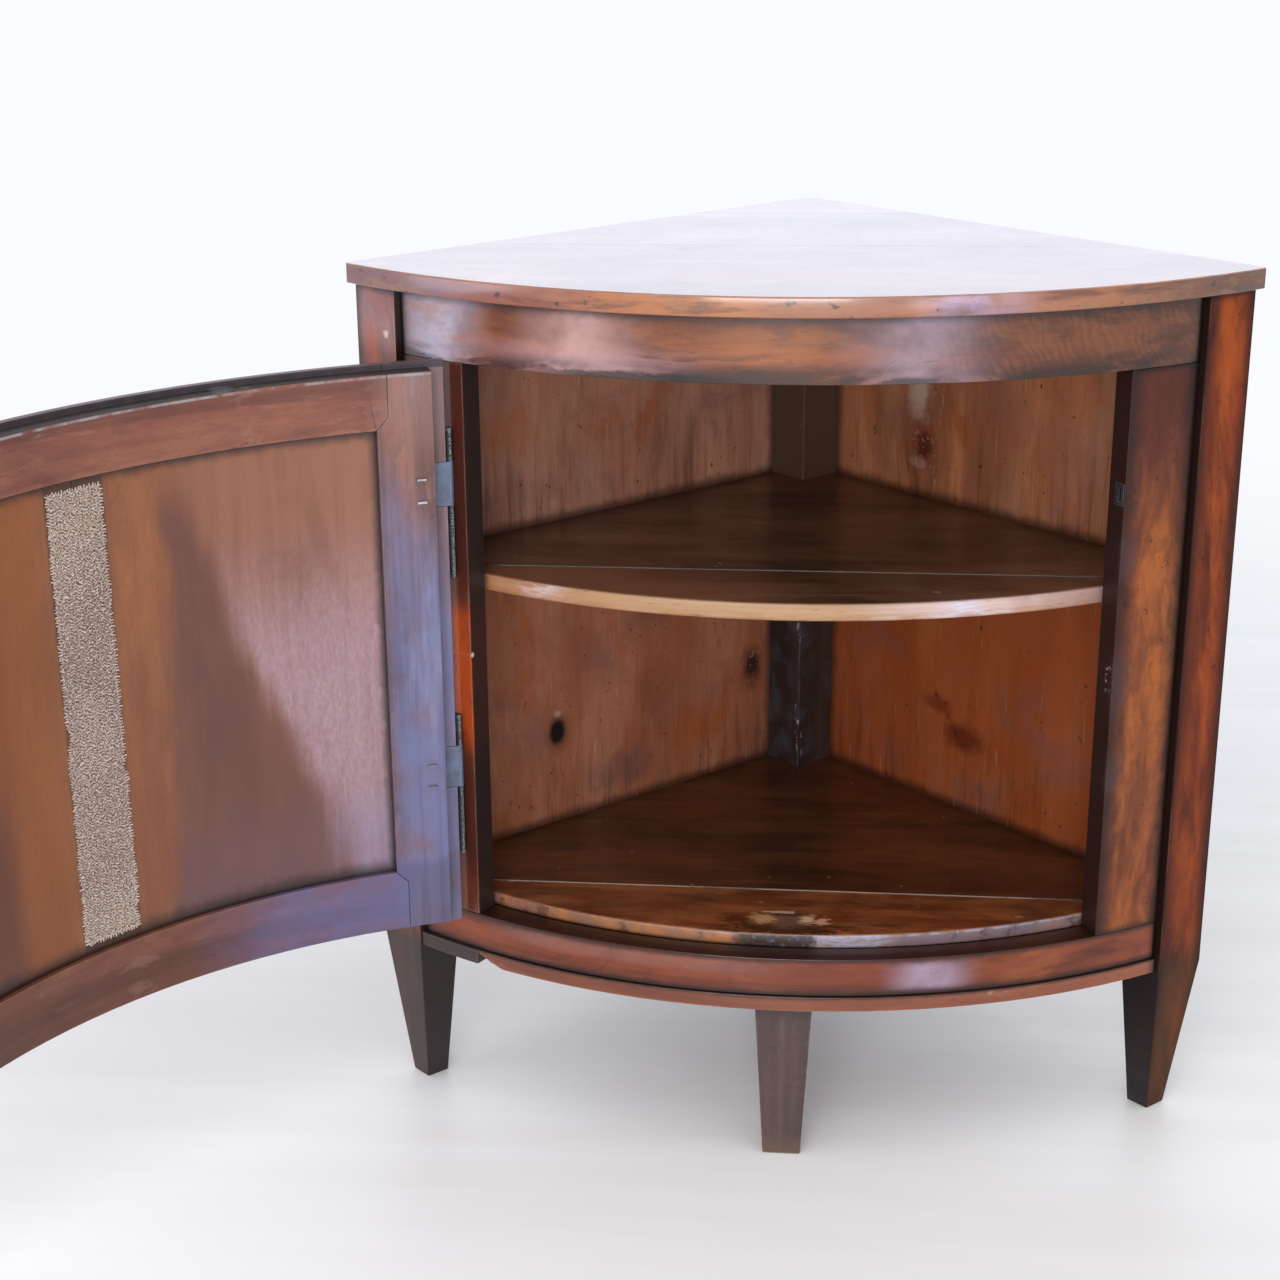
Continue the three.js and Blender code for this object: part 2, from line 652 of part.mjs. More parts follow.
// Nails run along local Y, and their places are the leaf's own
function nailHeights(bottom, spacing, middle) {
  return [bottom + middle - spacing / 2, bottom + middle + spacing / 2];
}

// How deep a bowed surface lies at a reach from the pin, counted into the cupboard
function surfaceDepth(radius, reach) {
  return hingeRadius - Math.sqrt(radius ** 2 - reach ** 2);
}

// A door nail goes right through the stile and its end is bent flat against the inner face
function doorNail(height) {
  const half = NAIL_SIDE / 2;
  const x = doorNailReach;
  const front = surfaceDepth(doorOuterRadius, x - NAIL_HEAD_RADIUS) - GAP;
  const back = surfaceDepth(doorInnerRadius, x + half) + GAP;
  const start = front - NAIL_HEAD_THICKNESS;
  const end = back + NAIL_SIDE;
  const shank = block([x - half, start, height - half], [x + half, end, height + half]);
  const head = bar(NAIL_HEAD_RADIUS, start, front, 'y').translate([x, 0, height]);
  const clench = block([x - NAIL_CLENCH_LENGTH, back, height - half], [x + half, end, height + half]);
  return shank.add(head).add(clench);
}

function nailHole(reach, height, from, to) {
  const half = (NAIL_SIDE + NAIL_PLAY) / 2;
  return block([reach - half, from, height - half], [reach + half, to, height + half]);
}

function frameNail(height) {
  const half = NAIL_SIDE / 2;
  const x = -frameNailReach;
  const front = plateFront - GAP;
  const shank = block([x - half, front - NAIL_HEAD_THICKNESS, height - half],
    [x + half, front + frameNailLength, height + half]);
  const head = bar(NAIL_HEAD_RADIUS, front - NAIL_HEAD_THICKNESS, front, 'y').translate([x, 0, height]);
  return shank.add(head);
}

// Lock pieces, in a frame on the inner face at the key: local +X towards the jamb, local +Y inwards
const lockLow = lockCentreHeight - LOCK_HEIGHT / 2;
const lockHigh = lockCentreHeight + LOCK_HEIGHT / 2;
const lockEnd = LOCK_BACKSET - GAP - LOCK_WALL / 2;
const lockStart = lockEnd - LOCK_LENGTH;
const keyHeight = lockCentreHeight - KEY_BELOW_CENTRE;
const boltLow = lockCentreHeight + BOLT_ABOVE_CENTRE;
const boltBack = -LOCK_WALL - BOLT_BEHIND_PLATE;

function lockCase() {
  const shell = block([lockStart, -LOCK_DEPTH, lockLow], [lockEnd, 0, lockHigh]);
  const hollow = block(
    [lockStart + LOCK_WALL, -LOCK_DEPTH - OVERRUN, lockLow + LOCK_WALL],
    [lockEnd - LOCK_WALL, -LOCK_WALL, lockHigh - LOCK_WALL],
  );
  const slot = block(
    [lockEnd - LOCK_WALL - OVERRUN, boltBack - BOLT_THICKNESS - GAP, boltLow - GAP],
    [lockEnd + OVERRUN, boltBack + GAP, boltLow + BOLT_HEIGHT + GAP],
  );
  return shell.subtract(hollow).subtract(slot);
}

function lockPocket() {
  const outward = -LOCK_DEPTH - GAP;
  return block(
    [lockStart - GAP, outward, lockLow - GAP],
    [LOCK_BACKSET + OVERRUN, OVERRUN, lockHigh + GAP],
  );
}

function lockBolt() {
  const tip = lockEnd - GAP;
  return block([-BOLT_TAIL, boltBack - BOLT_THICKNESS, boltLow], [tip, boltBack, boltLow + BOLT_HEIGHT]);
}

function keyholeCutter(from, to) {
  const radius = KEY_SHAFT_RADIUS + KEYHOLE_CLEARANCE;
  const half = KEY_BIT_THICKNESS / 2 + KEYHOLE_CLEARANCE;
  const round = bar(radius, from, to, 'y').translate([0, 0, keyHeight]);
  const slot = block(
    [-half, from, keyHeight - KEY_BIT_RADIUS - KEYHOLE_CLEARANCE],
    [half, to, keyHeight],
  );
  return round.add(slot);
}

const doorFaceY = doorInnerRadius - doorOuterRadius;

function escutcheon() {
  const halfStraight = (ESCUTCHEON_HEIGHT - ESCUTCHEON_WIDTH) / 2;
  const middle = keyHeight - KEY_BIT_RADIUS / 2;
  const front = doorFaceY - GAP - ESCUTCHEON_THICKNESS;
  const back = doorFaceY - GAP;
  let plate = block(
    [-ESCUTCHEON_WIDTH / 2, front, middle - halfStraight],
    [ESCUTCHEON_WIDTH / 2, back, middle + halfStraight],
  );
  for (const end of [-1, 1]) {
    plate = plate.add(bar(ESCUTCHEON_WIDTH / 2, front, back, 'y').translate([0, 0, middle + end * halfStraight]));
  }
  return plate.subtract(keyholeCutter(front - OVERRUN, back + OVERRUN));
}

function key() {
  const inner = -LOCK_WALL - GAP;
  const outer = doorFaceY - KEY_OUTSIDE_LENGTH;
  const shaft = bar(KEY_SHAFT_RADIUS, outer, inner, 'y').translate([0, 0, keyHeight]);
  const bit = block(
    [-KEY_BIT_THICKNESS / 2, boltBack - KEY_BIT_WIDTH, keyHeight - KEY_BIT_RADIUS],
    [KEY_BIT_THICKNESS / 2, boltBack, keyHeight],
  );
  const ring = new THREE.TorusGeometry(KEY_BOW_RADIUS, KEY_BOW_TUBE, ROUND_SIDES / 2, 2 * ROUND_SIDES);
  ring.rotateY(Math.PI / 2);
  ring.translate(0, outer - KEY_BOW_RADIUS, keyHeight);
  return shaft.add(bit).add(solidOf(ring));
}

// The bolt's path into the jamb, which cuts the keeper's hole and the mortise behind it
function boltPath() {
  const play = KEEPER_HOLE_CLEARANCE;
  const end = lockEnd + BOLT_TRAVEL + play;
  return block(
    [0, boltBack - BOLT_THICKNESS - play, boltLow - play],
    [end, boltBack + play, boltLow + BOLT_HEIGHT + play],
  );
}

// The keeper lies in the jamb, in a frame there: local +X into the jamb
function keeperBlock(grow) {
  const rise = LOCK_BACKSET ** 2 / 2 / doorInnerRadius;
  const middleY = boltBack - BOLT_THICKNESS / 2 - rise;
  const middleZ = boltLow + BOLT_HEIGHT / 2;
  return block(
    [grow - GAP / 2, middleY - KEEPER_WIDTH / 2 - grow, middleZ - KEEPER_HEIGHT / 2 - grow],
    [KEEPER_THICKNESS + grow, middleY + KEEPER_WIDTH / 2 + grow, middleZ + KEEPER_HEIGHT / 2 + grow],
  );
}

// The cupboard
const cupboard = new THREE.Group();
const carcass = new THREE.Group();
cupboard.add(carcass);

topBoards().forEach((board, i) => {
  carcass.add(meshOf(`top_${['front', 'middle', 'rear'][i]}_board`, board, 'topWalnut'));
});
carcass.add(meshOf('frieze_rail', caseRail(doorwayTop, topUnderside - GAP), 'walnut'));
carcass.add(meshOf('bottom_rail', caseRail(railBottom, doorwayBottom), 'walnut'));
carcass.add(meshOf('base_strip', baseStrip(), 'walnut'));
carcass.add(meshOf('base_strip_left_block', baseBlock(), 'darkWalnut'));

let leftStile = caseStile(-1);
let rightStile = caseStile(1);
for (const bottom of Object.values(hingeBottoms)) {
  for (const height of nailHeights(bottom, FRAME_NAIL_SPACING, HINGE_LENGTH / 2)) {
    const hole = nailHole(-frameNailReach, height, -OVERRUN, plateFront + frameNailLength + GAP);
    leftStile = leftStile.subtract(placeOnBow(hole, hingeAngle, hingeRadius));
  }
}
const mortise = placeOnBow(boltPath(), lockAngle, doorInnerRadius);
const keeperRecess = placeOnBow(keeperBlock(GAP).add(keeperBlock(GAP).translate([-KEEPER_THICKNESS, 0, 0])),
  doorwayHalfAngle, doorInnerRadius);
rightStile = rightStile.subtract(keeperRecess).subtract(mortise);
carcass.add(meshOf('left_stile', leftStile, 'walnut'));
carcass.add(meshOf('right_stile', rightStile, 'walnut'));
const keeper = placeOnBow(keeperBlock(0), doorwayHalfAngle, doorInnerRadius).subtract(mortise);
carcass.add(meshOf('keeper_plate', keeper, 'iron'));

carcass.add(meshOf('left_post', frontPost(-1), 'walnut'));
carcass.add(meshOf('right_post', frontPost(1), 'walnut'));
carcass.add(meshOf('rear_post', rearPost(), 'darkWalnut'));
carcass.add(meshOf('centre_foot', centreFoot(), 'walnut'));

const wallMiddle = (rearPostEdge + postInnerEdge) / 2;
for (const [side, word] of [[-1, 'left'], [1, 'right']]) {
  const rear = wallBoard(side, rearPostEdge, wallMiddle - BOARD_SEAM / 2);
  const front = wallBoard(side, wallMiddle + BOARD_SEAM / 2, postInnerEdge);
  carcass.add(meshOf(`${word}_wall_rear_board`, rear, 'innerWood'));
  carcass.add(meshOf(`${word}_wall_front_board`, front, 'innerWood'));
  carcass.add(meshOf(`shelf_${word}_bearer`, sideBearer(side, shelfTop - SHELF_THICKNESS), 'shelfWood'));
  carcass.add(meshOf(`floor_${word}_bearer`, sideBearer(side, floorTop - FLOOR_THICKNESS), 'shelfWood'));
}
carcass.add(meshOf('floor_front_bearer', frontBearer(), 'shelfWood'));

innerBoards(shelfRadius, SHELF_THICKNESS, shelfTop, shelfBoardShares).forEach((board, i) => {
  carcass.add(meshOf(`shelf_${['front', 'middle', 'rear'][i]}_board`, board, 'shelfWood'));
});
innerBoards(floorRadius, FLOOR_THICKNESS, floorTop, floorBoardShares).forEach((board, i) => {
  carcass.add(meshOf(`floor_${['front', 'middle', 'rear'][i]}_board`, board, 'shelfWood'));
});

// The door turns about the hinge pins and stands open
const pinX = hingeRadius * Math.sin(hingeAngle);
const pinY = arcCentreY - hingeRadius * Math.cos(hingeAngle);
const doorSwing = new THREE.Group();
doorSwing.position.set(pinX, pinY, 0);
doorSwing.rotation.z = -THREE.MathUtils.degToRad(DOOR_OPEN_DEGREES);
const door = new THREE.Group();
door.position.set(-pinX, -pinY, 0);
doorSwing.add(door);
cupboard.add(doorSwing);

let hingeStile = doorStile(-1);
for (const [word, bottom] of Object.entries(hingeBottoms)) {
  hingeStile = hingeStile.subtract(placeOnBow(leafPocket(bottom), hingeAngle, hingeRadius));
  let leaf = doorLeaf(bottom);
  nailHeights(leafBottom(bottom), NAIL_SPACING, LEAF_HEIGHT / 2).forEach((height, i) => {
    const hole = nailHole(doorNailReach, height, -POST_SIDE, POST_SIDE);
    hingeStile = hingeStile.subtract(placeOnBow(hole, hingeAngle, hingeRadius));
    leaf = leaf.subtract(hole);
    const nail = placeOnBow(doorNail(height), hingeAngle, hingeRadius);
    door.add(meshOf(`${word}_hinge_door_nail_${i + 1}`, nail, 'iron'));
  });
  door.add(meshOf(`${word}_hinge_door_leaf`, placeOnBow(leaf, hingeAngle, hingeRadius), 'iron'));

  let plate = frameLeaf(bottom);
  nailHeights(bottom, FRAME_NAIL_SPACING, HINGE_LENGTH / 2).forEach((height, i) => {
    plate = plate.subtract(nailHole(-frameNailReach, height, -OVERRUN, 2 * OVERRUN));
    const nail = placeOnBow(frameNail(height), hingeAngle, hingeRadius);
    carcass.add(meshOf(`${word}_hinge_frame_nail_${i + 1}`, nail, 'iron'));
  });
  carcass.add(meshOf(`${word}_hinge_frame_leaf`, placeOnBow(plate, hingeAngle, hingeRadius), 'iron'));
  carcass.add(meshOf(`${word}_hinge_pin`, placeOnBow(hingePin(bottom), hingeAngle, hingeRadius), 'iron'));
}
door.add(meshOf('door_hinge_stile', hingeStile, 'doorWood'));

const keyhole = keyholeCutter(doorFaceY - OVERRUN, -LOCK_DEPTH);
const lockStile = doorStile(1)
  .subtract(placeOnBow(lockPocket(), lockAngle, doorInnerRadius))
  .subtract(placeOnBow(keyhole, lockAngle, doorInnerRadius));
door.add(meshOf('door_lock_stile', lockStile, 'doorWood'));
door.add(meshOf('door_top_rail', doorRail(true), 'doorWood'));
door.add(meshOf('door_bottom_rail', doorRail(false), 'doorWood'));
door.add(meshOf('door_panel_hinge_board', panelBoard(false), 'panelWood'));
door.add(meshOf('door_panel_lock_board', panelBoard(true), 'panelWood'));
door.add(meshOf('linen_strip', linenStrip(), 'linen'));
door.add(meshOf('lock_case', placeOnBow(lockCase(), lockAngle, doorInnerRadius), 'iron'));
door.add(meshOf('lock_bolt', placeOnBow(lockBolt(), lockAngle, doorInnerRadius), 'iron'));
door.add(meshOf('escutcheon', placeOnBow(escutcheon(), lockAngle, doorInnerRadius), 'brass'));
door.add(meshOf('key', placeOnBow(key(), lockAngle, doorInnerRadius), 'iron'));

export default cupboard;
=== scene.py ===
"""Bow-front corner cupboard in walnut with its door standing open.

Every mesh is in metres in the model's own frame: +Z up, the bowed front faces -Y.
"""
import json
import math

import bmesh
import bpy
from mathutils import Matrix, Vector, noise


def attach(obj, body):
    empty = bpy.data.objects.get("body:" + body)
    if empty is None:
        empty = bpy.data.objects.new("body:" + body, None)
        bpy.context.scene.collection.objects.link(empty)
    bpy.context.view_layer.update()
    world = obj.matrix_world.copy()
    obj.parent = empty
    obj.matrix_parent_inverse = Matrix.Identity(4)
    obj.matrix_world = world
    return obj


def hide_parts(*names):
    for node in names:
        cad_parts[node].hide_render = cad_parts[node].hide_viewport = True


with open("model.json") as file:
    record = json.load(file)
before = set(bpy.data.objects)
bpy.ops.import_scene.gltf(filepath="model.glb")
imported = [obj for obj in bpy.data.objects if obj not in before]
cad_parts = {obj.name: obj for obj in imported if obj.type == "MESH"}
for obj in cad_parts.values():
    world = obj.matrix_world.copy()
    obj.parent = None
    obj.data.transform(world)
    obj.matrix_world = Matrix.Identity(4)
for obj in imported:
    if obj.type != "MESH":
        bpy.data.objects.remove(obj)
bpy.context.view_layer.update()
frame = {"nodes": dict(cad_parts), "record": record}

# Places in the model, in metres
ROOM_CORNER = Vector((0, 0.048083, 0))
BOW_CENTRE = Vector((0, 0.107887, 0))
TOP_RADIUS = 0.68
CASE_RADIUS = 0.668
SHELF_RADIUS = 0.63
FLOOR_RADIUS = 0.633
TOP_HEIGHT = 0.899
SHELF_HEIGHT = 0.5911
FLOOR_HEIGHT = 0.2364
STRIP_BOTTOM, STRIP_TOP = 0.168, 0.1838
RAIL_BOTTOM = 0.184
DOORWAY_BOTTOM = 0.225
JAMB_BOTTOM, JAMB_TOP = 0.2255, 0.8145
FRAME_TOP = 0.8787
POST_SIDE = 0.068
RIGHT_STILE_EDGE = 0.3354
DOOR_INNER_RADIUS = 0.65
PANEL_INNER_RADIUS = 0.6565
PANEL_HALF_ANGLE = 0.4098
PANEL_BOTTOM, PANEL_TOP = 0.291, 0.758
LINEN_ANGLE = 0.0725
LINEN_ALONG = 0.047
LINEN_BOTTOM = 0.3
LINEN_WIDTH, LINEN_LENGTH = 0.06, 0.449
YARN, GLUE = 0.0015, 0.0002
DOOR_TURN = math.radians(130.5)
HINGE_PIN = Vector((-0.337088, -0.475186, 0))
# Where the seams of the boards lie, measured along Y
TOP_SEAMS = (-0.2868, -0.0722)
SHELF_SEAMS = (-0.4102, -0.2457)
FLOOR_SEAMS = (-0.4127, -0.2236)


def opened(point):
    """Where a point of the closed door lies when the door stands open."""
    return HINGE_PIN + Matrix.Rotation(-DOOR_TURN, 3, 'Z') @ (Vector(point) - HINGE_PIN)


DOOR_CENTRE = opened(BOW_CENTRE)


def tone(text):
    """A colour written as six hex digits, as linear light."""
    parts = [int(text[i:i + 2], 16) / 255 for i in (0, 2, 4)]
    linear = [c / 12.92 if c <= 0.04045 else ((c + 0.055) / 1.055) ** 2.4 for c in parts]
    return (*linear, 1.0)


def add_object(name, data):
    added = bpy.data.objects.new(name, data)
    bpy.context.scene.collection.objects.link(added)
    return added


# The photograph's viewpoint: place, turns in radians, lens in millimetres and shift
VIEWPOINT = (0.0799, -2.8124, 1.3148)
YAW, PITCH, ROLL = -0.1244, 0.3695, -0.016
LENS = 68.87
LENS_SHIFT = (0.0477, 0.0937)


def set_camera():
    """The camera at the photograph's viewpoint."""
    level = math.cos(PITCH)
    ahead = Vector((math.sin(YAW) * level, math.cos(YAW) * level, -math.sin(PITCH)))
    right = Vector((math.cos(YAW), -math.sin(YAW), 0))
    up = right.cross(ahead)
    across = right * math.cos(ROLL) + up * math.sin(ROLL)
    upward = up * math.cos(ROLL) - right * math.sin(ROLL)
    data = bpy.data.cameras.new('photo_camera')
    data.sensor_width = 36
    data.lens = LENS
    data.shift_x, data.shift_y = LENS_SHIFT
    data.clip_start = 0.05
    camera = add_object('photo_camera', data)
    turn = Matrix((across, upward, -ahead)).transposed().to_4x4()
    camera.matrix_world = Matrix.Translation(VIEWPOINT) @ turn
    bpy.context.scene.camera = camera
    bpy.context.scene.view_settings.view_transform = 'Standard'


set_camera()


class Bench:
    """A node tree, with short ways to add nodes to it."""

    def __init__(self, tree):
        self.tree = tree

    def node(self, kind, inputs=(), **settings):
        made = self.tree.nodes.new(kind)
        for key, value in settings.items():
            setattr(made, key, value)
        for key, value in dict(inputs).items():
            self.feed(made.inputs[key], value)
        return made

    def feed(self, target, value):
        """Gives an input a value, or links it to another node's output."""
        if isinstance(value, bpy.types.NodeSocket):
            self.tree.links.new(value, target)
        else:
            target.default_value = value

    def use(self, group, **inputs):
        """Adds an effect; its inputs are named with underscores for spaces."""
        made = self.node('ShaderNodeGroup', node_tree=group)
        for key, value in inputs.items():
            self.feed(made.inputs[key.replace('_', ' ')], value)
        return made.outputs

    def calc(self, operation, a, b=0, c=0, clamp=False):
        inputs = {0: a, 1: b, 2: c}
        return self.node('ShaderNodeMath', inputs, operation=operation, use_clamp=clamp).outputs[0]

    def times(self, first, *others):
        for other in others:
            first = self.calc('MULTIPLY', first, other)
        return first

    def plus(self, a, b):
        return self.calc('ADD', a, b)

    def minus(self, a, b):
        return self.calc('SUBTRACT', a, b)

    def over(self, a, b):
        return self.calc('DIVIDE', a, b)

    def unsigned(self, value):
        return self.calc('ABSOLUTE', value)

    def scaled(self, value, factor, shift, clamp=False):
        return self.calc('MULTIPLY_ADD', value, factor, shift, clamp)

    def wave(self, value):
        """A sine that runs from 0 to 1."""
        return self.scaled(self.calc('SINE', value), 0.5, 0.5)

    def vector(self, operation, a, b=(0, 0, 0)):
        made = self.node('ShaderNodeVectorMath', {0: a, 1: b}, operation=operation)
        return made.outputs['Value' if operation in ('LENGTH', 'DOT_PRODUCT') else 'Vector']

    def parts(self, vector):
        return self.node('ShaderNodeSeparateXYZ', {0: vector}).outputs

    def join(self, x=0, y=0, z=0):
        return self.node('ShaderNodeCombineXYZ', {0: x, 1: y, 2: z}).outputs[0]

    def length(self, x, y=0):
        return self.vector('LENGTH', self.join(x, y))

    def towards(self, normal, direction):
        """How far a normal points one way: 1 straight at it, 0 across it."""
        return self.vector('DOT_PRODUCT', normal, tuple(Vector(direction).normalized()))

    def normal(self, kind='Normal'):
        return self.node('ShaderNodeNewGeometry').outputs[kind]

    def rise(self, value, low, high):
        """0 below low, 1 above high, and smooth between; low may be the larger."""
        inputs = {'Value': value, 'From Min': low, 'From Max': high}
        return self.node('ShaderNodeMapRange', inputs, interpolation_type='SMOOTHSTEP').outputs[0]

    def span(self, value, low, high, soft):
        """1 between low and high, fading out over soft on both sides."""
        inside = self.rise(value, low - soft, low + soft)
        return self.times(inside, self.rise(value, high + soft, high - soft))

    def blend(self, share, a, b, kind='MIX'):
        inputs = {0: share, 6: a, 7: b}
        return self.node('ShaderNodeMix', inputs, data_type='RGBA', blend_type=kind).outputs[2]

    def cloud(self, place, scale, detail=3, rough=0.55, bend=0):
        """A noise from 0 to 1; scale is one number, or how fast it changes along each axis."""
        if isinstance(scale, tuple):
            place = self.vector('MULTIPLY', place, scale)
            scale = 1
        inputs = {'Vector': place, 'Scale': scale, 'Detail': detail, 'Roughness': rough,
                  'Distortion': bend}
        return self.node('ShaderNodeTexNoise', inputs).outputs[0]

    def patchy(self, place, scale, low, high, *look):
        """Patches where a noise rises from low to high."""
        return self.rise(self.cloud(place, scale, *look), low, high)

    def uneven(self, amount, place, scale, *look):
        """A noise about 0 that strays by half of amount either way."""
        return self.times(self.minus(self.cloud(place, scale, *look), 0.5), amount)

    def bump(self, height, strength, distance):
        inputs = {'Height': height, 'Strength': strength, 'Distance': distance}
        return self.node('ShaderNodeBump', inputs).outputs[0]

    def principled(self, **inputs):
        named = {key.replace('_', ' '): value for key, value in inputs.items()}
        return self.node('ShaderNodeBsdfPrincipled', named).outputs[0]

    def finish(self, shader, end='ShaderNodeOutputMaterial'):
        self.tree.links.new(shader, self.node(end).inputs[0])


finishes = {}


def new_material(name):
    """Adds an empty material to the finishes and gives its node tree."""
    material = finishes[name] = bpy.data.materials.new(name)
    material.use_nodes = True
    material.node_tree.nodes.clear()
    return material.node_tree


NOWHERE = (0, 0, 0)


def effect(name, inputs, make):
    """A shader node group with a place and more inputs; make returns its results by name."""
    tree = bpy.data.node_groups.new(name, 'ShaderNodeTree')

    def declare(label, way, is_vector):
        kind = 'NodeSocketVector' if is_vector else 'NodeSocketFloat'
        return tree.interface.new_socket(name=label, in_out=way, socket_type=kind)

    for label, value in {'Place': NOWHERE, **inputs}.items():
        declare(label, 'INPUT', isinstance(value, tuple)).default_value = value
    results = make(Bench(tree), tree.nodes.new('NodeGroupInput').outputs)
    for label, socket in results.items():
        declare(label, 'OUTPUT', socket.type == 'VECTOR')
    end = tree.nodes.new('NodeGroupOutput')
    for label, socket in results.items():
        tree.links.new(socket, end.inputs[label])
    return tree


def make_bow_place(b, given):
    flat = b.vector('SUBTRACT', given['Place'], given['Centre'])
    turned = b.node('ShaderNodeVectorRotate', {'Vector': flat, 'Angle': given['Turn']},
                    rotation_type='Z_AXIS').outputs[0]
    x, y, z = b.parts(turned)
    along = b.times(b.calc('ARCTAN2', x, b.times(y, -1)), given['Radius'])
    return {'Place': b.join(along, b.minus(given['Radius'], b.length(x, y)), z)}


def make_walnut_grain(b, given):
    """The grain runs along X. Sizes are in metres across the grain."""
    place = given['Place']
    x, y, z = b.parts(place)
    shift = given['Board']
    band = b.over(1, given['Band Width'])
    here = b.join(b.plus(b.times(x, 1.7), shift), b.times(y, band), b.times(z, band))
    broad = b.cloud(here, 0.55, 2, 0.5, 0.7)
    shifted = b.vector('ADD', place, b.join(shift))
    return {'Broad': broad,
            'Lines': b.wave(b.times(broad, given['Lines'])),
            'Patches': b.cloud(shifted, (4, 13, 13), 4, 0.6, 0.4),
            'Fibres': b.cloud(place, (22, 900, 900), 2, 0.6),
            'Streaks': b.cloud(place, (5, 150, 150), 3, 0.6),
            'Pores': b.patchy(place, (70, 1100, 1100), 0.62, 0.72, 1, 0.5)}


def make_curly_figure(b, given):
    """Short ripples across the grain, as in fiddle-back wood."""
    place = given['Place']
    x, y, z = b.parts(place)
    wander = b.times(b.cloud(place, 22, 2, 0.5), 0.05)
    waves = b.over(b.plus(b.plus(x, b.times(z, 0.5)), wander), given['Spacing'])
    return {'Ripple': b.times(b.wave(waves), b.patchy(place, 30, 0.3, 0.6, 1))}


def make_scratches(b, given):
    """Thin curving lines where a noise crosses its middle, kept in a few places."""
    bent = b.cloud(given['Place'], given['Scale'], 1, 0.4, 1.2)
    line = b.rise(b.unsigned(b.minus(bent, 0.5)), given['Width'], 0)
    return {'Mask': b.times(line, b.patchy(given['Place'], 14, 0.55, 0.66, 2))}


def make_worn_arris(b, given):
    """Where an edge is rounded by the Bevel node, broken up by a noise."""
    soft = b.node('ShaderNodeBevel', {'Radius': given['Width']}, samples=4).outputs[0]
    near = b.rise(b.vector('DOT_PRODUCT', soft, b.normal()), 0.985, 0.84)
    return {'Mask': b.times(near, b.patchy(given['Place'], 38, 0.36, 0.62, 4, 0.65))}


def make_shade_and_grime(b, given):
    """Painted shade, with some real soiling, that gathers against a line and thins out over a
    distance, in a broken front.
    """
    ragged = b.scaled(b.cloud(given['Place'], 46, 4, 0.65), 1.3, 0.35)
    share = b.over(given['Distance'], b.times(ragged, given['Reach']))
    return {'Mask': b.rise(share, 1, 0)}


def make_knot(b, given):
    """A knot in a board whose grain runs along X: how far it is, and the grain bent round it."""
    x, y, z = b.parts(b.vector('SUBTRACT', given['Place'], given['Centre']))
    wobble = b.scaled(b.cloud(given['Place'], 70, 2), 0.5, 0.75)
    far = b.over(b.length(b.times(x, 0.72), y), b.times(given['Radius'], wobble))
    bent = b.times(y, b.scaled(b.rise(far, 4.2, 0.6), -0.75, 1))
    place = b.vector('ADD', b.join(x, bent, z), given['Centre'])
    return {'Place': place, 'Far': far, 'Halo': b.rise(far, 2.6, 0.9)}


bow_place = effect('bow place', {'Centre': NOWHERE, 'Turn': 0, 'Radius': 1}, make_bow_place)
walnut_grain = effect('walnut grain', {'Board': 0, 'Band Width': 0.03, 'Lines': 40},
                      make_walnut_grain)
curly_figure = effect('curly figure', {'Spacing': 0.0015}, make_curly_figure)
scratches = effect('scratches', {'Scale': 9, 'Width': 0.004}, make_scratches)
worn_arris = effect('worn arris', {'Width': 0.003}, make_worn_arris)
shade_and_grime = effect('shade_and_grime', {'Distance': 0, 'Reach': 0.01}, make_shade_and_grime)
knot = effect('knot', {'Centre': NOWHERE, 'Radius': 0.012}, make_knot)


# Places along the pieces. Each gives along, outward and upward distances for a material
def straight(b, here):
    return here


def round_centre(centre, turn, radius):
    """Along an arc about a centre, out from its radius, and up."""
    def place(b, here):
        return b.use(bow_place, Place=here, Centre=tuple(centre), Turn=turn,
                     Radius=radius)['Place']
    return place


on_bow = round_centre(BOW_CENTRE, 0, CASE_RADIUS)
on_door = round_centre(DOOR_CENTRE, DOOR_TURN, DOOR_INNER_RADIUS)


def on_wall(side):
    """Along the wall from the room corner, out from the wall, and up."""
    def place(b, here):
        turn = math.pi / 4 if side > 0 else math.pi * 3 / 4
        shift = -(Matrix.Rotation(turn, 3, 'Z') @ ROOM_CORNER)
        turned = b.node('ShaderNodeMapping', {'Vector': here, 'Location': tuple(shift),
                                              'Rotation': (0, 0, turn)}).outputs[0]
        return b.vector('MULTIPLY', turned, (1, -side, 1))
    return place


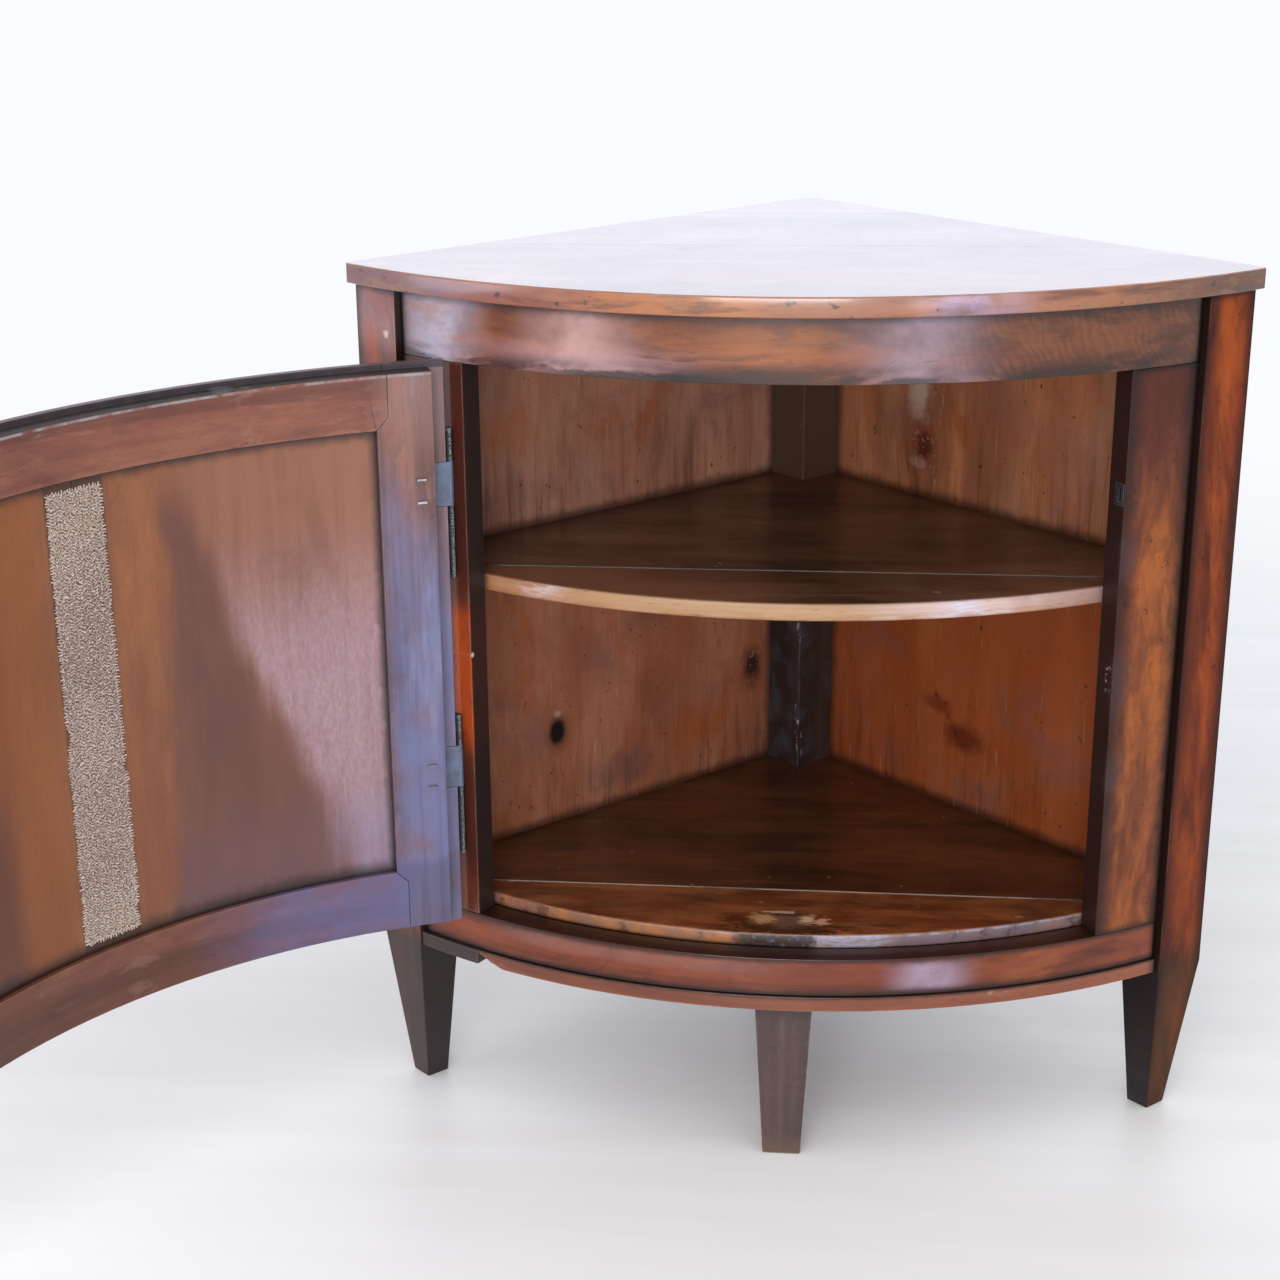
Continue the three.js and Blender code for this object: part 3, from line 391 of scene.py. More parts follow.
class Wood(Bench):
    """A wood finish in the making: where it is, and the colour that marks are laid on."""

    def __init__(self, tree, place, upright, marks):
        super().__init__(tree)
        self.here = self.node('ShaderNodeTexCoord').outputs['Object']
        local = place(self, self.here)
        x, y, z = self.parts(local)
        self.along, self.out, self.up = x, y, z
        self.grain_place = self.join(z, x, y) if upright else local
        if hasattr(marks, 'bend'):
            self.grain_place = marks.bend(self)
        self.dulled = 0

    def stain(self, mask, colour, share=1):
        """Lays a colour where a mask is 1, or where all of several masks are."""
        masks = mask if isinstance(mask, tuple) else (mask,)
        self.colour = self.blend(self.times(*masks, share), self.colour, tone(colour))

    def stains(self, *rows):
        """Lays several stains in their order, each as its mask, colour and share."""
        for row in rows:
            self.stain(*row)

    def dull(self, mask, amount):
        self.dulled = self.plus(self.times(mask, amount), self.dulled)

    def sheen_and_wax_bloom(self, mask, colour, share):
        """A tint in a soft patch with an uneven edge: mostly a painted lilac sheen that stands for
        light reflected off the polish, in a few places old wax and worn marks.
        """
        masks = mask if isinstance(mask, tuple) else (mask,)
        uneven = self.scaled(self.cloud(self.here, 17, 5, 0.66), 2.3, -0.28, clamp=True)
        self.stain((*masks, uneven), colour, share)

    def shade_and_dirt(self, distance, reach):
        return self.use(shade_and_grime, Place=self.here, Distance=distance, Reach=reach)['Mask']

    def lay_shade_and_dirt(self, distance, reach, colour='120a08', share=0.9):
        """Painted shade, with dark soiling, against a joint line."""
        self.stain(self.shade_and_dirt(distance, reach), colour, share)

    def facing(self, direction):
        """1 on the faces of a fixed piece that look one way."""
        return self.rise(self.towards(self.normal('True Normal'), direction), 0.55, 0.8)

    def from_value(self, value, at):
        return self.unsigned(self.minus(value, at))

    def spots(self, scale, low, high, *look):
        return self.patchy(self.here, scale, low, high, *look)

    def streaks(self, scale, low, high, *look):
        return self.patchy(self.grain_place, scale, low, high, *look)

    def mottled(self, scale, low=0.45, high=0.65):
        """Soft patches drawn out along the grain, about 1/scale metres long."""
        return self.streaks((scale, scale * 3.2, scale * 3.2), low, high, 5, 0.62, 0.5)


def wooden(name, place, tones, upright=False, band=0.03, lines=40, board=0, figure=0.22,
           patch=0.5, curl=0, wear=0.5, worn='b98a63', rough=0.36, coat=0.2, shine=0.35,
           relief=0.35, scratch=0.5, fibre=0.75, depth=None, marks=None):
    """A wood finish. tones are dark, middle and light; depth is what old polish lets through."""
    w = Wood(new_material(name), place, upright, marks)
    grain = w.use(walnut_grain, Place=w.grain_place, Board=board, Band_Width=band, Lines=lines)
    dark, middle, light = tones
    w.colour = w.blend(w.rise(grain['Patches'], 0.3, 0.7), tone(middle), tone(light))
    w.stain(w.rise(grain['Broad'], 0.62, 0.4), dark, patch)
    w.stain((w.rise(grain['Lines'], 0.55, 1), grain['Streaks']), dark, figure)
    fine = w.scaled(grain['Fibres'], 0.5, 0.75)
    w.colour = w.blend(fibre, w.colour, w.join(fine, fine, fine), 'MULTIPLY')
    w.stain(grain['Pores'], dark, 0.4)
    if curl:
        w.ripple = w.use(curly_figure, Place=w.grain_place)['Ripple']
        w.stain(w.ripple, light, curl)
    scratched = w.use(scratches, Place=w.here)['Mask']
    w.stain(scratched, '24120c', scratch)
    arris = w.use(worn_arris, Place=w.here)['Mask']
    w.stain(arris, worn, wear)
    if marks:
        marks(w)
    if depth:
        w.colour = w.blend(1, w.colour, (*depth, 1), 'MULTIPLY')
    gloss = w.scaled(w.cloud(w.here, 11, 4, 0.65), 0.22, rough - 0.11)
    gloss = w.plus(w.plus(gloss, w.times(arris, 0.2)), w.dulled)
    height = w.plus(w.times(grain['Pores'], -0.5), w.times(grain['Streaks'], 0.6))
    height = w.plus(height, w.times(w.cloud(w.here, 16, 3), 2))
    height = w.minus(height, scratched)
    w.finish(w.principled(Base_Color=w.colour, Roughness=w.calc('MAXIMUM', gloss, 0.08),
                          Normal=w.bump(height, relief, 0.0006), Coat_Weight=coat,
                          Coat_Roughness=0.16, IOR=1.5, Specular_IOR_Level=shine))


def on_arc(w, radius):
    """Along an arc about the bow's centre, back from it, and up."""
    return round_centre(BOW_CENTRE, 0, radius)(w, w.here)


def from_post(w):
    """How far a place lies from the inner side of the front post, along the bow's end."""
    x, y, z = w.parts(w.here)
    out = w.minus(w.minus(ROOM_CORNER.y, y), w.unsigned(x))
    return w.minus(w.times(out, math.sqrt(0.5)), POST_SIDE)


def mark_top(w):
    along, depth, up = w.parts(on_arc(w, TOP_RADIUS))
    edge = w.times(w.rise(depth, 0.0016, 0.0006),
                   w.rise(up, TOP_HEIGHT - 0.0004, TOP_HEIGHT - 0.0016))
    face = w.rise(up, TOP_HEIGHT - 0.0012, TOP_HEIGHT - 0.0004)
    w.stains((edge, '8a4f2c', 0.6),
             ((edge, w.spots(7, 0.4, 0.65, 3)), 'a66432', 0.75),
             ((edge, w.spots((9, 9, 60), 0.46, 0.62, 4, 0.7)), '4c2617', 0.7),
             ((face, w.spots((6, 40, 40), 0.52, 0.7, 4, 0.65)), 'c8b2a8', 0.38))
    for seam in TOP_SEAMS:
        line = w.rise(w.from_value(w.parts(w.here)[1], seam), 0.0012, 0.0003)
        w.stain((line, w.spots((9, 1, 1), 0.44, 0.58, 3, 0.6)), '3a2018', 0.7)
    # painted reflection: a lilac sheen on the front edge
    lilac = w.times(w.span(along, 0.135, 0.215, 0.03), w.spots(20, 0.25, 0.62, 4, 0.6))
    worn = w.spots((24, 24, 90), 0.5, 0.64, 4, 0.7)
    nicks = w.spots((60, 60, 90), 0.68, 0.72, 2)
    w.stains(((edge, w.rise(w.unsigned(along), 0.24, 0.44)), '462515', 0.8),
             ((edge, w.rise(along, -0.12, -0.38)), '7c5058', 0.5),
             ((edge, lilac), 'a096bc', 0.5),
             ((edge, worn), 'a0704a', 0.25),
             ((edge, nicks), '2a1610', 0.8))
    w.dull(edge, 0.14)


def mark_frieze(w):
    right = w.rise(w.along, 0.08, 0.24)
    middle = w.span(w.up, 0.836, 0.868, 0.008)
    w.stains((w.mottled(9, 0.48, 0.68), '4a2013', 0.6),
             ((middle, w.mottled(5, 0.42, 0.62)), 'bb6f38', 0.55),
             (w.mottled(24, 0.5, 0.66), '5a2c1c', 0.4),
             ((w.ripple, right), 'b57a48', 0.35),
             (right, '5e3220', 0.5),
             ((right, w.mottled(11, 0.44, 0.62)), '34190f', 0.6))
    # painted reflections: pale lilac sheens where the bowed polish mirrors the lamps and the room
    w.sheen_and_wax_bloom(w.span(w.along, -0.405, -0.325, 0.03), 'c4bcd8', 0.95)
    w.stain((w.rise(w.along, -0.28, -0.33), w.mottled(15, 0.48, 0.64)), 'b4785a', 0.6)
    w.sheen_and_wax_bloom((w.span(w.along, -0.33, -0.1, 0.05), w.rise(w.up, 0.852, 0.83)), 'ad8a9a', 0.6)
    w.sheen_and_wax_bloom(w.span(w.along, -0.245, -0.165, 0.05), 'deb4b8', 0.85)
    w.sheen_and_wax_bloom(w.span(w.along, 0.075, 0.165, 0.05), 'b8a2b8', 0.6)
    # black along the lower edge, where hands and dirt reached it
    ragged = w.plus(w.up, w.times(w.cloud(w.grain_place, (22, 40, 40), 4, 0.7), 0.02))
    blackened = w.times(w.rise(ragged, 0.834, 0.829), w.span(w.along, -0.25, -0.06, 0.04))
    lines = w.streaks((7, 60, 60), 0.58, 0.68, 4, 0.65)
    w.stains(((w.rise(w.up, 0.836, 0.818), w.mottled(12, 0.36, 0.56)), '22110c', 0.85),
             (blackened, '170c09', 0.8),
             ((lines, w.span(w.up, 0.822, 0.84, 0.006)), '24110b', 0.6))
    mark_joints(w)
    # painted shade under the overhanging top
    w.lay_shade_and_dirt(w.minus(FRAME_TOP, w.up), 0.01, '1c0f0b', 0.85)


def mark_joints(w):
    """The dark line where the bow meets the posts: a dark joint, with painted shade in its gap and
    spreading out from it.
    """
    away = from_post(w)
    w.lay_shade_and_dirt(away, 0.015, '0d0807', 0.9)
    w.stain(w.rise(away, 0.0042, 0.0022), '060403', 0.97)


def mark_rail(w):
    w.stains((w.mottled(8, 0.5, 0.66), '4a1e12', 0.6),
             (w.mottled(6, 0.36, 0.22), 'b0603a', 0.55),
             (w.streaks((9, 70, 70), 0.52, 0.66, 4, 0.65), 'a65c38', 0.4))
    # painted highlight: a lilac-white reflection right of the middle; at the left a fainter painted
    # sheen
    highlight = (w.span(w.along, 0.13, 0.18, 0.035), w.span(w.up, 0.19, 0.219, 0.006))
    w.sheen_and_wax_bloom(highlight, 'c2c4ff', 0.88)
    w.stain((w.span(w.along, 0.235, 0.3, 0.02), w.mottled(14, 0.42, 0.56)), 'b06c3c', 0.45)
    left = (w.span(w.along, -0.3, -0.02, 0.05), w.span(w.up, 0.206, 0.221, 0.004))
    w.sheen_and_wax_bloom(left, 'a98a90', 0.4)
    # painted shade against the base strip below and the doorway's edge above
    w.lay_shade_and_dirt(w.minus(w.up, RAIL_BOTTOM), 0.009, '140a08', 0.92)
    w.lay_shade_and_dirt(w.minus(DOORWAY_BOTTOM, w.up), 0.008, '1a0d0a', 0.85)
    mark_joints(w)


def mark_strip(w):
    chips = w.spots((26, 26, 60), 0.6, 0.66, 3, 0.6)
    ends = w.calc('MAXIMUM', w.span(w.along, 0.18, 0.31, 0.03), w.rise(w.along, -0.28, -0.32))
    w.stain((chips, ends), '9a7a66', 0.8)
    w.stain(w.rise(w.up, STRIP_BOTTOM + 0.0045, STRIP_BOTTOM + 0.001), '8a4a30', 0.5)
    # painted shade under the rail
    w.lay_shade_and_dirt(w.minus(STRIP_TOP, w.up), 0.004, '120908', 0.9)
    mark_joints(w)


def mark_left_stile(w):
    # painted shade: the stile's inner side, turned from the light, is laid near black
    jamb = w.rise(w.out, 0.0004, 0.003)
    streak = w.times(w.rise(w.along, -0.366, -0.358), w.span(w.up, 0.415, 0.56, 0.015))
    chip = w.length(w.from_value(w.up, 0.514), w.from_value(w.out, 0.003))
    w.stains((w.rise(w.up, 0.55, 0.61), '35150f', 0.7),
             (w.span(w.up, 0.27, 0.4, 0.02), '2c1410', 0.6),
             ((streak, w.spots((34, 34, 11), 0.32, 0.5, 4, 0.65)), 'a8420f', 0.75),
             (w.mottled(16, 0.52, 0.66), '4a1a10', 0.5),
             (jamb, '1b100e', 0.94),
             (w.rise(chip, 0.0032, 0.0018), 'c9c2c0', 0.85))
    w.dull(jamb, 0.2)
    mark_joints(w)


def mark_right_stile(w):
    """Warm where hands have rubbed it, dark towards its top, with painted shade against both its
    edges and on its inner side.
    """
    inner = w.rise(w.out, 0.0015, 0.006)
    side = w.minus(w.along, RIGHT_STILE_EDGE)
    warm = w.times(w.rise(w.up, 0.74, 0.62), w.rise(side, 0.008, 0.026))
    ragged = w.plus(w.up, w.times(w.cloud(w.grain_place, (6, 30, 30), 4, 0.6), 0.12))
    w.stains(((warm, w.mottled(5, 0.36, 0.58)), 'bd7434', 0.7),
             (w.mottled(14, 0.46, 0.62), '54291a', 0.55),
             (w.mottled(38, 0.5, 0.66), '42200f', 0.2),
             (w.spots((9, 9, 150), 0.48, 0.66, 3, 0.6), '6a3820', 0.12),
             (w.spots(90, 0.68, 0.73, 2, 0.5), '2a140e', 0.6),
             (w.rise(ragged, 0.7, 0.84), '4c1f19', 0.8))
    # painted shade against the doorway edge
    w.lay_shade_and_dirt(side, 0.026, '24110f', 0.9)
    for up, tall in ((0.5, 0.05), (0.4, 0.03), (0.63, 0.03)):
        spread = w.over(w.from_value(w.up, up), tall)
        w.sheen_and_wax_bloom((w.rise(spread, 1, 0.2), w.rise(side, 0.026, 0.01)), '4a4048', 0.7)
    keeper = w.times(w.span(w.up, 0.491, 0.516, 0.004), w.span(w.out, 0.004, 0.012, 0.002))
    # painted shade: the inner side, turned from the light, is laid dark
    w.stain(inner, '2a1917', 0.85)
    w.dull(inner, 0.15)
    w.stain((keeper, w.spots(160, 0.5, 0.6, 2)), 'b9b2b6', 0.8)
    # painted shade at the jamb's ends and beside the post
    w.lay_shade_and_dirt(w.minus(w.up, JAMB_BOTTOM), 0.01, '1a0e0b', 0.75)
    w.lay_shade_and_dirt(w.minus(JAMB_TOP, w.up), 0.006, '120a08', 0.9)
    mark_joints(w)
    w.lay_shade_and_dirt(from_post(w), 0.026, '1c1010', 0.7)


def post_marks(side):
    """A front post: warm down its middle; painted shade makes it dark along its arrises, near black
    on its face turned from the light, and black inside its foot.
    """
    def marks(w):
        foot = w.rise(w.up, 0.2, 0.16)
        room_side = w.facing((-side, -1, 0))
        end_side = w.facing((side, -1, 0))
        middle = w.times(w.span(w.out, 0.016, 0.052, 0.01), end_side)
        w.stains((w.mottled(8, 0.5, 0.66), '3a1a10', 0.7),
                 (w.mottled(30, 0.5, 0.68), '4a1e12', 0.4))
        if side > 0:
            foot_tone, foot_end_tone, foot_end_share = '394456', '514b3f', 0.65
            inner_share, rub_share = 0.8, 0.15
            w.stains(((middle, w.mottled(5, 0.4, 0.64)), 'cf7a34', 0.7),
                     ((middle, w.mottled(17, 0.52, 0.66)), '5e2c18', 0.5),
                     (w.spots(80, 0.68, 0.73, 2, 0.5), '24120c', 0.6),
                     (w.rise(w.up, 0.34, 0.18), '4a2416', 0.35),
                     ((foot, w.mottled(12, 0.42, 0.62)), '2b1a14', 0.75))
        else:
            foot_tone, foot_end_tone, foot_end_share = '1f1e20', '262525', 0.88
            inner_share, rub_share = 0.4, 0.55
            # painted sheen at the top of the end face
            w.sheen_and_wax_bloom((end_side, w.rise(w.up, 0.795, 0.845)), 'c0a6b8', 0.42)
            chip = w.length(w.from_value(w.up, 0.833), w.from_value(w.out, POST_SIDE * 0.76))
            crumbled = w.plus(chip, w.uneven(0.008, w.here, 190, 3, 0.7))
            w.stains(((w.rise(crumbled, 0.0052, 0.0032), end_side), 'ddd6da', 0.85),
                     ((middle, w.mottled(9, 0.42, 0.6)), 'a8502a', 0.65))
        rubbed = w.times(w.span(w.out, POST_SIDE - 0.002, POST_SIDE + 0.001, 0.0006),
                         w.spots((40, 40, 12), 0.46, 0.6, 3))
        # painted shade: the face turned from the light is near black, at the foot bluish grey on
        # the right post (painted shade with a painted sheen), near black on the left, as is the
        # left foot's other face under the open door; painted shade beside the arrises
        w.stains(((foot, room_side), foot_tone, 0.95),
                 ((w.rise(w.up, 0.16, 0.2), room_side), '120b0a', 0.92),
                 ((foot, end_side), foot_end_tone, foot_end_share),
                 ((w.shade_and_dirt(w.out, 0.014), end_side), '241410', 0.75),
                 (w.shade_and_dirt(w.minus(POST_SIDE, w.out), 0.012), '1c0f0c', inner_share),
                 ((rubbed, end_side), 'b98a72', rub_share))
        # painted shade under the frame's top
        w.lay_shade_and_dirt(w.minus(FRAME_TOP - 0.0002, w.up), 0.009, '160c0a', 0.85)
        w.dull(foot, 0.1)
    return marks


def mark_rear_post(w):
    lower = w.rise(w.up, 0.6, 0.54)
    arris = w.rise(w.length(w.parts(w.here)[0]), 0.006, 0.001)
    w.stains(((w.spots(26, 0.42, 0.66, 4, 0.6), lower), '3b3a42', 0.65),
             (w.minus(1, lower), '56402f', 0.6),
             ((w.spots((120, 120, 60), 0.62, 0.68, 3, 0.6), arris), 'a39a92', 0.8))


def mark_centre_foot(w):
    w.stains((w.rise(w.up, 0.03, 0), '8a5a34', 0.45),
             (w.spots(150, 0.5, 0.66, 3, 0.7), '6c4a44', 0.4),
             # painted shade just under the base strip
             (w.rise(w.up, 0.15, 0.167), '33201b', 0.6))


def wall_marks(side, knots, blotches, cracks, reddish, redder='86400f'):
    """One wall's knots, stains and cracks by their places along and up, and its red below."""
    def marks(w):
        bare = w.colour
        below_shelf = w.rise(w.up, 0.6, 0.56)
        haze = w.streaks((6, 12, 12), 0.48, 0.74, 5, 0.6)
        w.stains((below_shelf, redder, reddish),
                 (w.streaks((2, 46, 46), 0.5, 0.72, 3, 0.6), '5c2b15', 0.2),
                 (w.streaks((7, 11, 11), 0.5, 0.66, 4, 0.6, 0.8), '8c4213', 0.5),
                 (w.spots(8.5, 0.5, 0.68, 5, 0.62, 0.6), '6a4440', 0.45),
                 ((haze, w.scaled(below_shelf, -0.7, 1)), 'a3897c', 0.34),
                 (w.streaks((16, 130, 130), 0.48, 0.7, 3, 0.6), '7c4a30', 0.3))
        for along, up, wide, tall, colour, share in blotches:
            far = w.length(w.over(w.minus(w.along, along), wide), w.over(w.minus(w.up, up), tall))
            ragged = w.times(w.cloud(w.here, 48, 5, 0.7), 2)
            w.stain(w.rise(w.over(far, ragged), 1.1, 0.3), colour, share)
        drips = w.streaks((6, 90, 90), 0.48, 0.7, 5, 0.65)
        for level in (SHELF_HEIGHT, FLOOR_HEIGHT):
            above = w.minus(w.up, level)
            above = w.plus(above, w.calc('LESS_THAN', above, 0))
            w.stain((drips, w.rise(above, 0.15, 0.01)), '3a1a0e', 0.5)
            # painted shade in the corner above the shelf and the floor
            w.lay_shade_and_dirt(above, 0.014, '200f09', 0.8)
        w.stains((w.spots(120, 0.7, 0.74, 2, 0.5), '1c0d08', 0.7),
                 (w.streaks((14, 300, 300), 0.66, 0.72, 3, 0.6), 'c3a48c', 0.22))
        # painted shade beside the post
        w.lay_shade_and_dirt(w.minus(w.along, POST_SIDE), 0.014, '1c0f0a', 0.7)
        for ring, kind in w.knots:
            far = ring['Far']
            if kind == 'hole':
                w.stains((ring['Halo'], '4a2414', 0.5),
                         (w.rise(far, 1.55, 1.05), '2c1710', 0.6),
                         (w.rise(far, 1.12, 0.85), '0b0706', 0.97))
                continue
            halo, core = ('6e2c1a', '4a170e') if kind == 'red' else ('4e2416', '22110d')
            ragged = w.plus(far, w.uneven(1.6, w.here, 110, 4, 0.7))
            crumbs = w.spots(190, 0.56, 0.64, 3, 0.6)
            w.stains((w.rise(ragged, 2.1, 0.8), halo, 0.55),
                     (w.rise(ragged, 1.2, 0.5), core, 0.8),
                     ((crumbs, w.rise(ragged, 1.9, 1)), '9a8276', 0.5))
        for along, up, lean, long, wide, colour in cracks:
            ahead, above = w.minus(w.along, along), w.minus(w.up, up)
            cos, sin = math.cos(lean), math.sin(lean)
            down = w.plus(w.times(ahead, cos), w.times(above, sin))
            off = w.minus(w.times(above, cos), w.times(ahead, sin))
            near = w.unsigned(w.plus(off, w.uneven(0.022, w.here, 80, 4, 0.7)))
            mask = w.times(w.rise(near, wide, wide * 0.1), w.span(down, 0, long, 0.01))
            w.stain((mask, w.spots(55, 0.4, 0.62, 3, 0.6)), colour, 0.7)
        # the face towards the room's wall was never stained or handled
        dusty = w.streaks((3, 14, 14), 0.4, 0.7, 5, 0.6)
        bare = w.blend(w.scaled(dusty, 0.35, 0.35), bare, tone('7c6350'))
        w.colour = w.blend(w.facing((-side, -1, 0)), bare, w.colour)

    def bend(w):
        place = w.grain_place
        w.knots = []
        for along, up, radius, kind in knots:
            ring = w.use(knot, Place=place, Centre=(up, along, 0), Radius=radius)
            place = ring['Place']
            w.knots.append((ring, kind))
        return place

    marks.bend = bend
    return marks


def board_marks(radius, height, edge_tones, highlights, sheen_tone, seams):
    """A shelf or floor board: its seams, a painted sheen of the walls reflected, and a worn front
    edge with painted highlights.
    """
    def marks(w):
        reach = on_arc(w, radius)
        along, depth, up = w.parts(reach)
        w.stains((w.mottled(7, 0.48, 0.66), '23150d', 0.65),
                 (w.mottled(17, 0.5, 0.64), '1d120b', 0.5),
                 # painted sheen: pale streaks that stand for the walls reflected in the polish
                 (w.spots((4, 14, 1), 0.46, 0.68, 4), sheen_tone, 0.38),
                 (w.spots((6, 110, 1), 0.54, 0.7, 4, 0.65), sheen_tone, 0.35),
                 (w.spots(75, 0.73, 0.76, 2, 0.5), 'a58a70', 0.5))
        for seam, low, high, colour, share in seams:
            offset = w.from_value(w.parts(w.here)[1], seam)
            broken = w.spots((17, 1, 1), low, high, 4, 0.7)
            w.stains((w.rise(offset, 0.0012, 0.0004), '150c08', 0.7),
                     ((w.rise(offset, 0.0014, 0.0005), broken), colour, share))
        # the worn front edge, in its tones at the left, the middle and the right
        here = w.plus(along, w.uneven(0.2, w.here, 9, 3))
        left, middle, right = (tone(t) for t in edge_tones)
        edge = w.blend(w.rise(here, -0.3, -0.14), left, middle)
        edge = w.blend(w.rise(here, 0.04, 0.16), edge, right)
        grain = w.patchy(reach, (8, 60, 260), 0.35, 0.65, 4, 0.6)
        broken = w.patchy(reach, (34, 60, 190), 0.36, 0.56, 5, 0.7)
        honey = w.times(w.rise(up, height - 0.009, height - 0.014),
                        w.patchy(reach, (22, 60, 90), 0.4, 0.6, 4, 0.65))
        layers = [((grain,), '8a6650', 0.3)]
        # painted highlights where the front edge reflects light
        layers += [((w.span(here, low, high, 0.024), broken), sheen, 0.85)
                   for low, high, sheen in highlights]
        layers += [((w.rise(here, 0.235, 0.275),), '9a766a', 0.6), ((honey,), 'a06a3e', 0.55)]
        for masks, colour, share in layers:
            edge = w.blend(w.times(*masks, share), edge, tone(colour))
        front = w.times(w.rise(depth, 0.006, 0.002),
                        w.rise(up, height - 0.0002, height - 0.0024))
        w.colour = w.blend(w.times(front, 0.95), w.colour, edge)
        w.stain((front, w.patchy(reach, (26, 60, 160), 0.6, 0.68, 4, 0.65)), '5a3a28', 0.45)
        w.dull(front, 0.12)
    return marks


def mark_shelf(w):
    board_marks(SHELF_RADIUS, SHELF_HEIGHT, SHELF_EDGE, SHELF_EDGE_HIGHLIGHTS, '7a5642',
                [(SHELF_SEAMS[0], 0.56, 0.68, '9c7a60', 0.4),
                 (SHELF_SEAMS[1], 0.58, 0.68, '8a6c56', 0.35)])(w)
    x, y, z = w.parts(w.here)
    front = w.times(w.rise(z, SHELF_HEIGHT - 0.001, SHELF_HEIGHT - 0.0002),
                    w.rise(y, -0.4095, -0.4115))
    w.stain((front, w.rise(x, 0.1, -0.2)), '8a5238', 0.42)


# Ragged patches on the floor's front board: across, back from the front, width, depth,
# tone and share
FLOOR_PATCHES = (
    (0.002, 0.012, 0.062, 0.02, '1c0c07', 0.85), (0.178, 0.01, 0.06, 0.01, '2a160c', 0.6),
    (-0.044, 0.036, 0.024, 0.012, '3a0f07', 0.8), (0.004, 0.034, 0.026, 0.022, '6a4e3e', 0.75),
    (0.002, 0.052, 0.03, 0.008, '2c120a', 0.7), (-0.021, 0.037, 0.014, 0.013, 'b98a5c', 0.85),
    (-0.004, 0.054, 0.016, 0.004, 'c6a488', 0.8), (0.027, 0.038, 0.009, 0.011, 'cda184', 0.9),
    (0.04, 0.034, 0.01, 0.009, 'c29274', 0.9))


def mark_floor_front(w):
    board_marks(FLOOR_RADIUS, FLOOR_HEIGHT, FLOOR_EDGE, FLOOR_EDGE_HIGHLIGHTS, 'a05c30', [])(w)
    x, y, z = w.parts(w.here)
    front = BOW_CENTRE.y - FLOOR_RADIUS
    top = w.rise(z, FLOOR_HEIGHT - 0.0012, FLOOR_HEIGHT - 0.0002)
    w.stain((top, w.mottled(12, 0.46, 0.62)), '5a1f0c', 0.6)
    for across, back, wide, deep, colour, share in FLOOR_PATCHES:
        away = w.length(w.over(w.minus(x, across), wide),
                        w.over(w.minus(y, front + back), deep))
        torn = w.plus(away, w.uneven(4.2, w.here, (90, 330, 90), 5, 0.75))
        w.stain((w.rise(torn, 1.15, 0.6), top), colour, share)
    edge = w.rise(z, FLOOR_HEIGHT - 0.0006, FLOOR_HEIGHT - 0.002)
    left = w.times(edge, w.rise(x, 0, -0.05))
    # painted highlight: a thin pale line below the upper arris at the left
    rim = w.times(w.span(z, FLOOR_HEIGHT - 0.0036, FLOOR_HEIGHT - 0.0012, 0.0008),
                  w.rise(x, -0.1, -0.02))
    across = w.plus(x, w.uneven(0.05, w.here, 60, 4, 0.7))
    charred = w.times(edge, w.span(across, -0.046, 0.034, 0.006))
    w.stains(((left, w.spots(34, 0.46, 0.62, 5, 0.7)), 'b9743a', 0.65),
             ((edge, w.spots(52, 0.54, 0.64, 5, 0.7)), '4c322c', 0.7),
             ((left, w.rise(z, FLOOR_HEIGHT - 0.01, FLOOR_HEIGHT - 0.014)), '3a2018', 0.6),
             ((rim, w.spots(60, 0.4, 0.58, 4, 0.7)), 'a9a6b6', 0.5),
             (charred, '14110f', 0.85),
             ((charred, w.spots(170, 0.52, 0.66, 4, 0.65)), '66728a', 0.45))


def mark_door_frame(w):
    """Inner face: a painted lilac sheen down the hinge side, a black top edge with a painted
    highlight on its arris, and a worn lip.
    """
    w.stains((w.mottled(7, 0.52, 0.7), '4c2419', 0.5),
             (w.mottled(5, 0.4, 0.28), 'b0653f', 0.4),
             (w.mottled(26, 0.5, 0.66), '5c3330', 0.32),
             (w.mottled(19, 0.44, 0.3), 'b98468', 0.28))
    outside = w.blend(0.7, w.colour, tone('6b3620'))
    # a painted lilac sheen, reflected light, lies on the hinge stile and runs out along the bottom
    # rail
    hinge_side = w.rise(w.along, -0.255, -0.285)
    down = w.rise(w.plus(w.up, w.times(w.plus(w.along, 0.28), -1.6)), 0.76, 0.62)
    w.sheen_and_wax_bloom((hinge_side, down), '72759c', 0.85)
    w.stains(((hinge_side, w.streaks((3, 90, 90), 0.46, 0.68, 4, 0.62)), '4a4158', 0.4),
             ((hinge_side, w.streaks((5, 34, 34), 0.52, 0.7, 5, 0.65)), 'a496a8', 0.4))
    bottom_rail = w.rise(w.up, 0.31, 0.29)
    ahead = w.times(w.rise(w.along, -0.02, -0.18), w.rise(w.along, -0.29, -0.27))
    w.sheen_and_wax_bloom((bottom_rail, ahead), '746e9c', 0.75)
    w.stain(bottom_rail, '3a1a0e', 0.34)
    w.sheen_and_wax_bloom((hinge_side, w.rise(w.up, 0.7, 0.79)), 'a87868', 0.5)
    top = w.rise(w.up, 0.8118, 0.8128)
    lip = w.rise(w.out, -0.0182, -0.0196)
    # painted highlight along the arris of the top edge
    arris = w.times(w.span(w.up, 0.8092, 0.8116, 0.0006), w.rise(w.out, -0.004, -0.001))
    w.stains((top, '15100f', 0.94),
             ((top, w.spots((12, 12, 40), 0.56, 0.62, 3, 0.7)), '6e6a6c', 0.5),
             (lip, '84707e', 0.45),
             ((lip, w.spots((40, 40, 10), 0.42, 0.6, 4, 0.6)), '4a2a28', 0.5),
             ((arris, w.spots((30, 30, 8), 0.36, 0.56, 4, 0.6)), 'b5a9ac', 0.6))
    w.dull(top, 0.2)
    w.colour = w.blend(w.rise(w.out, -0.0235, -0.0215), outside, w.colour)


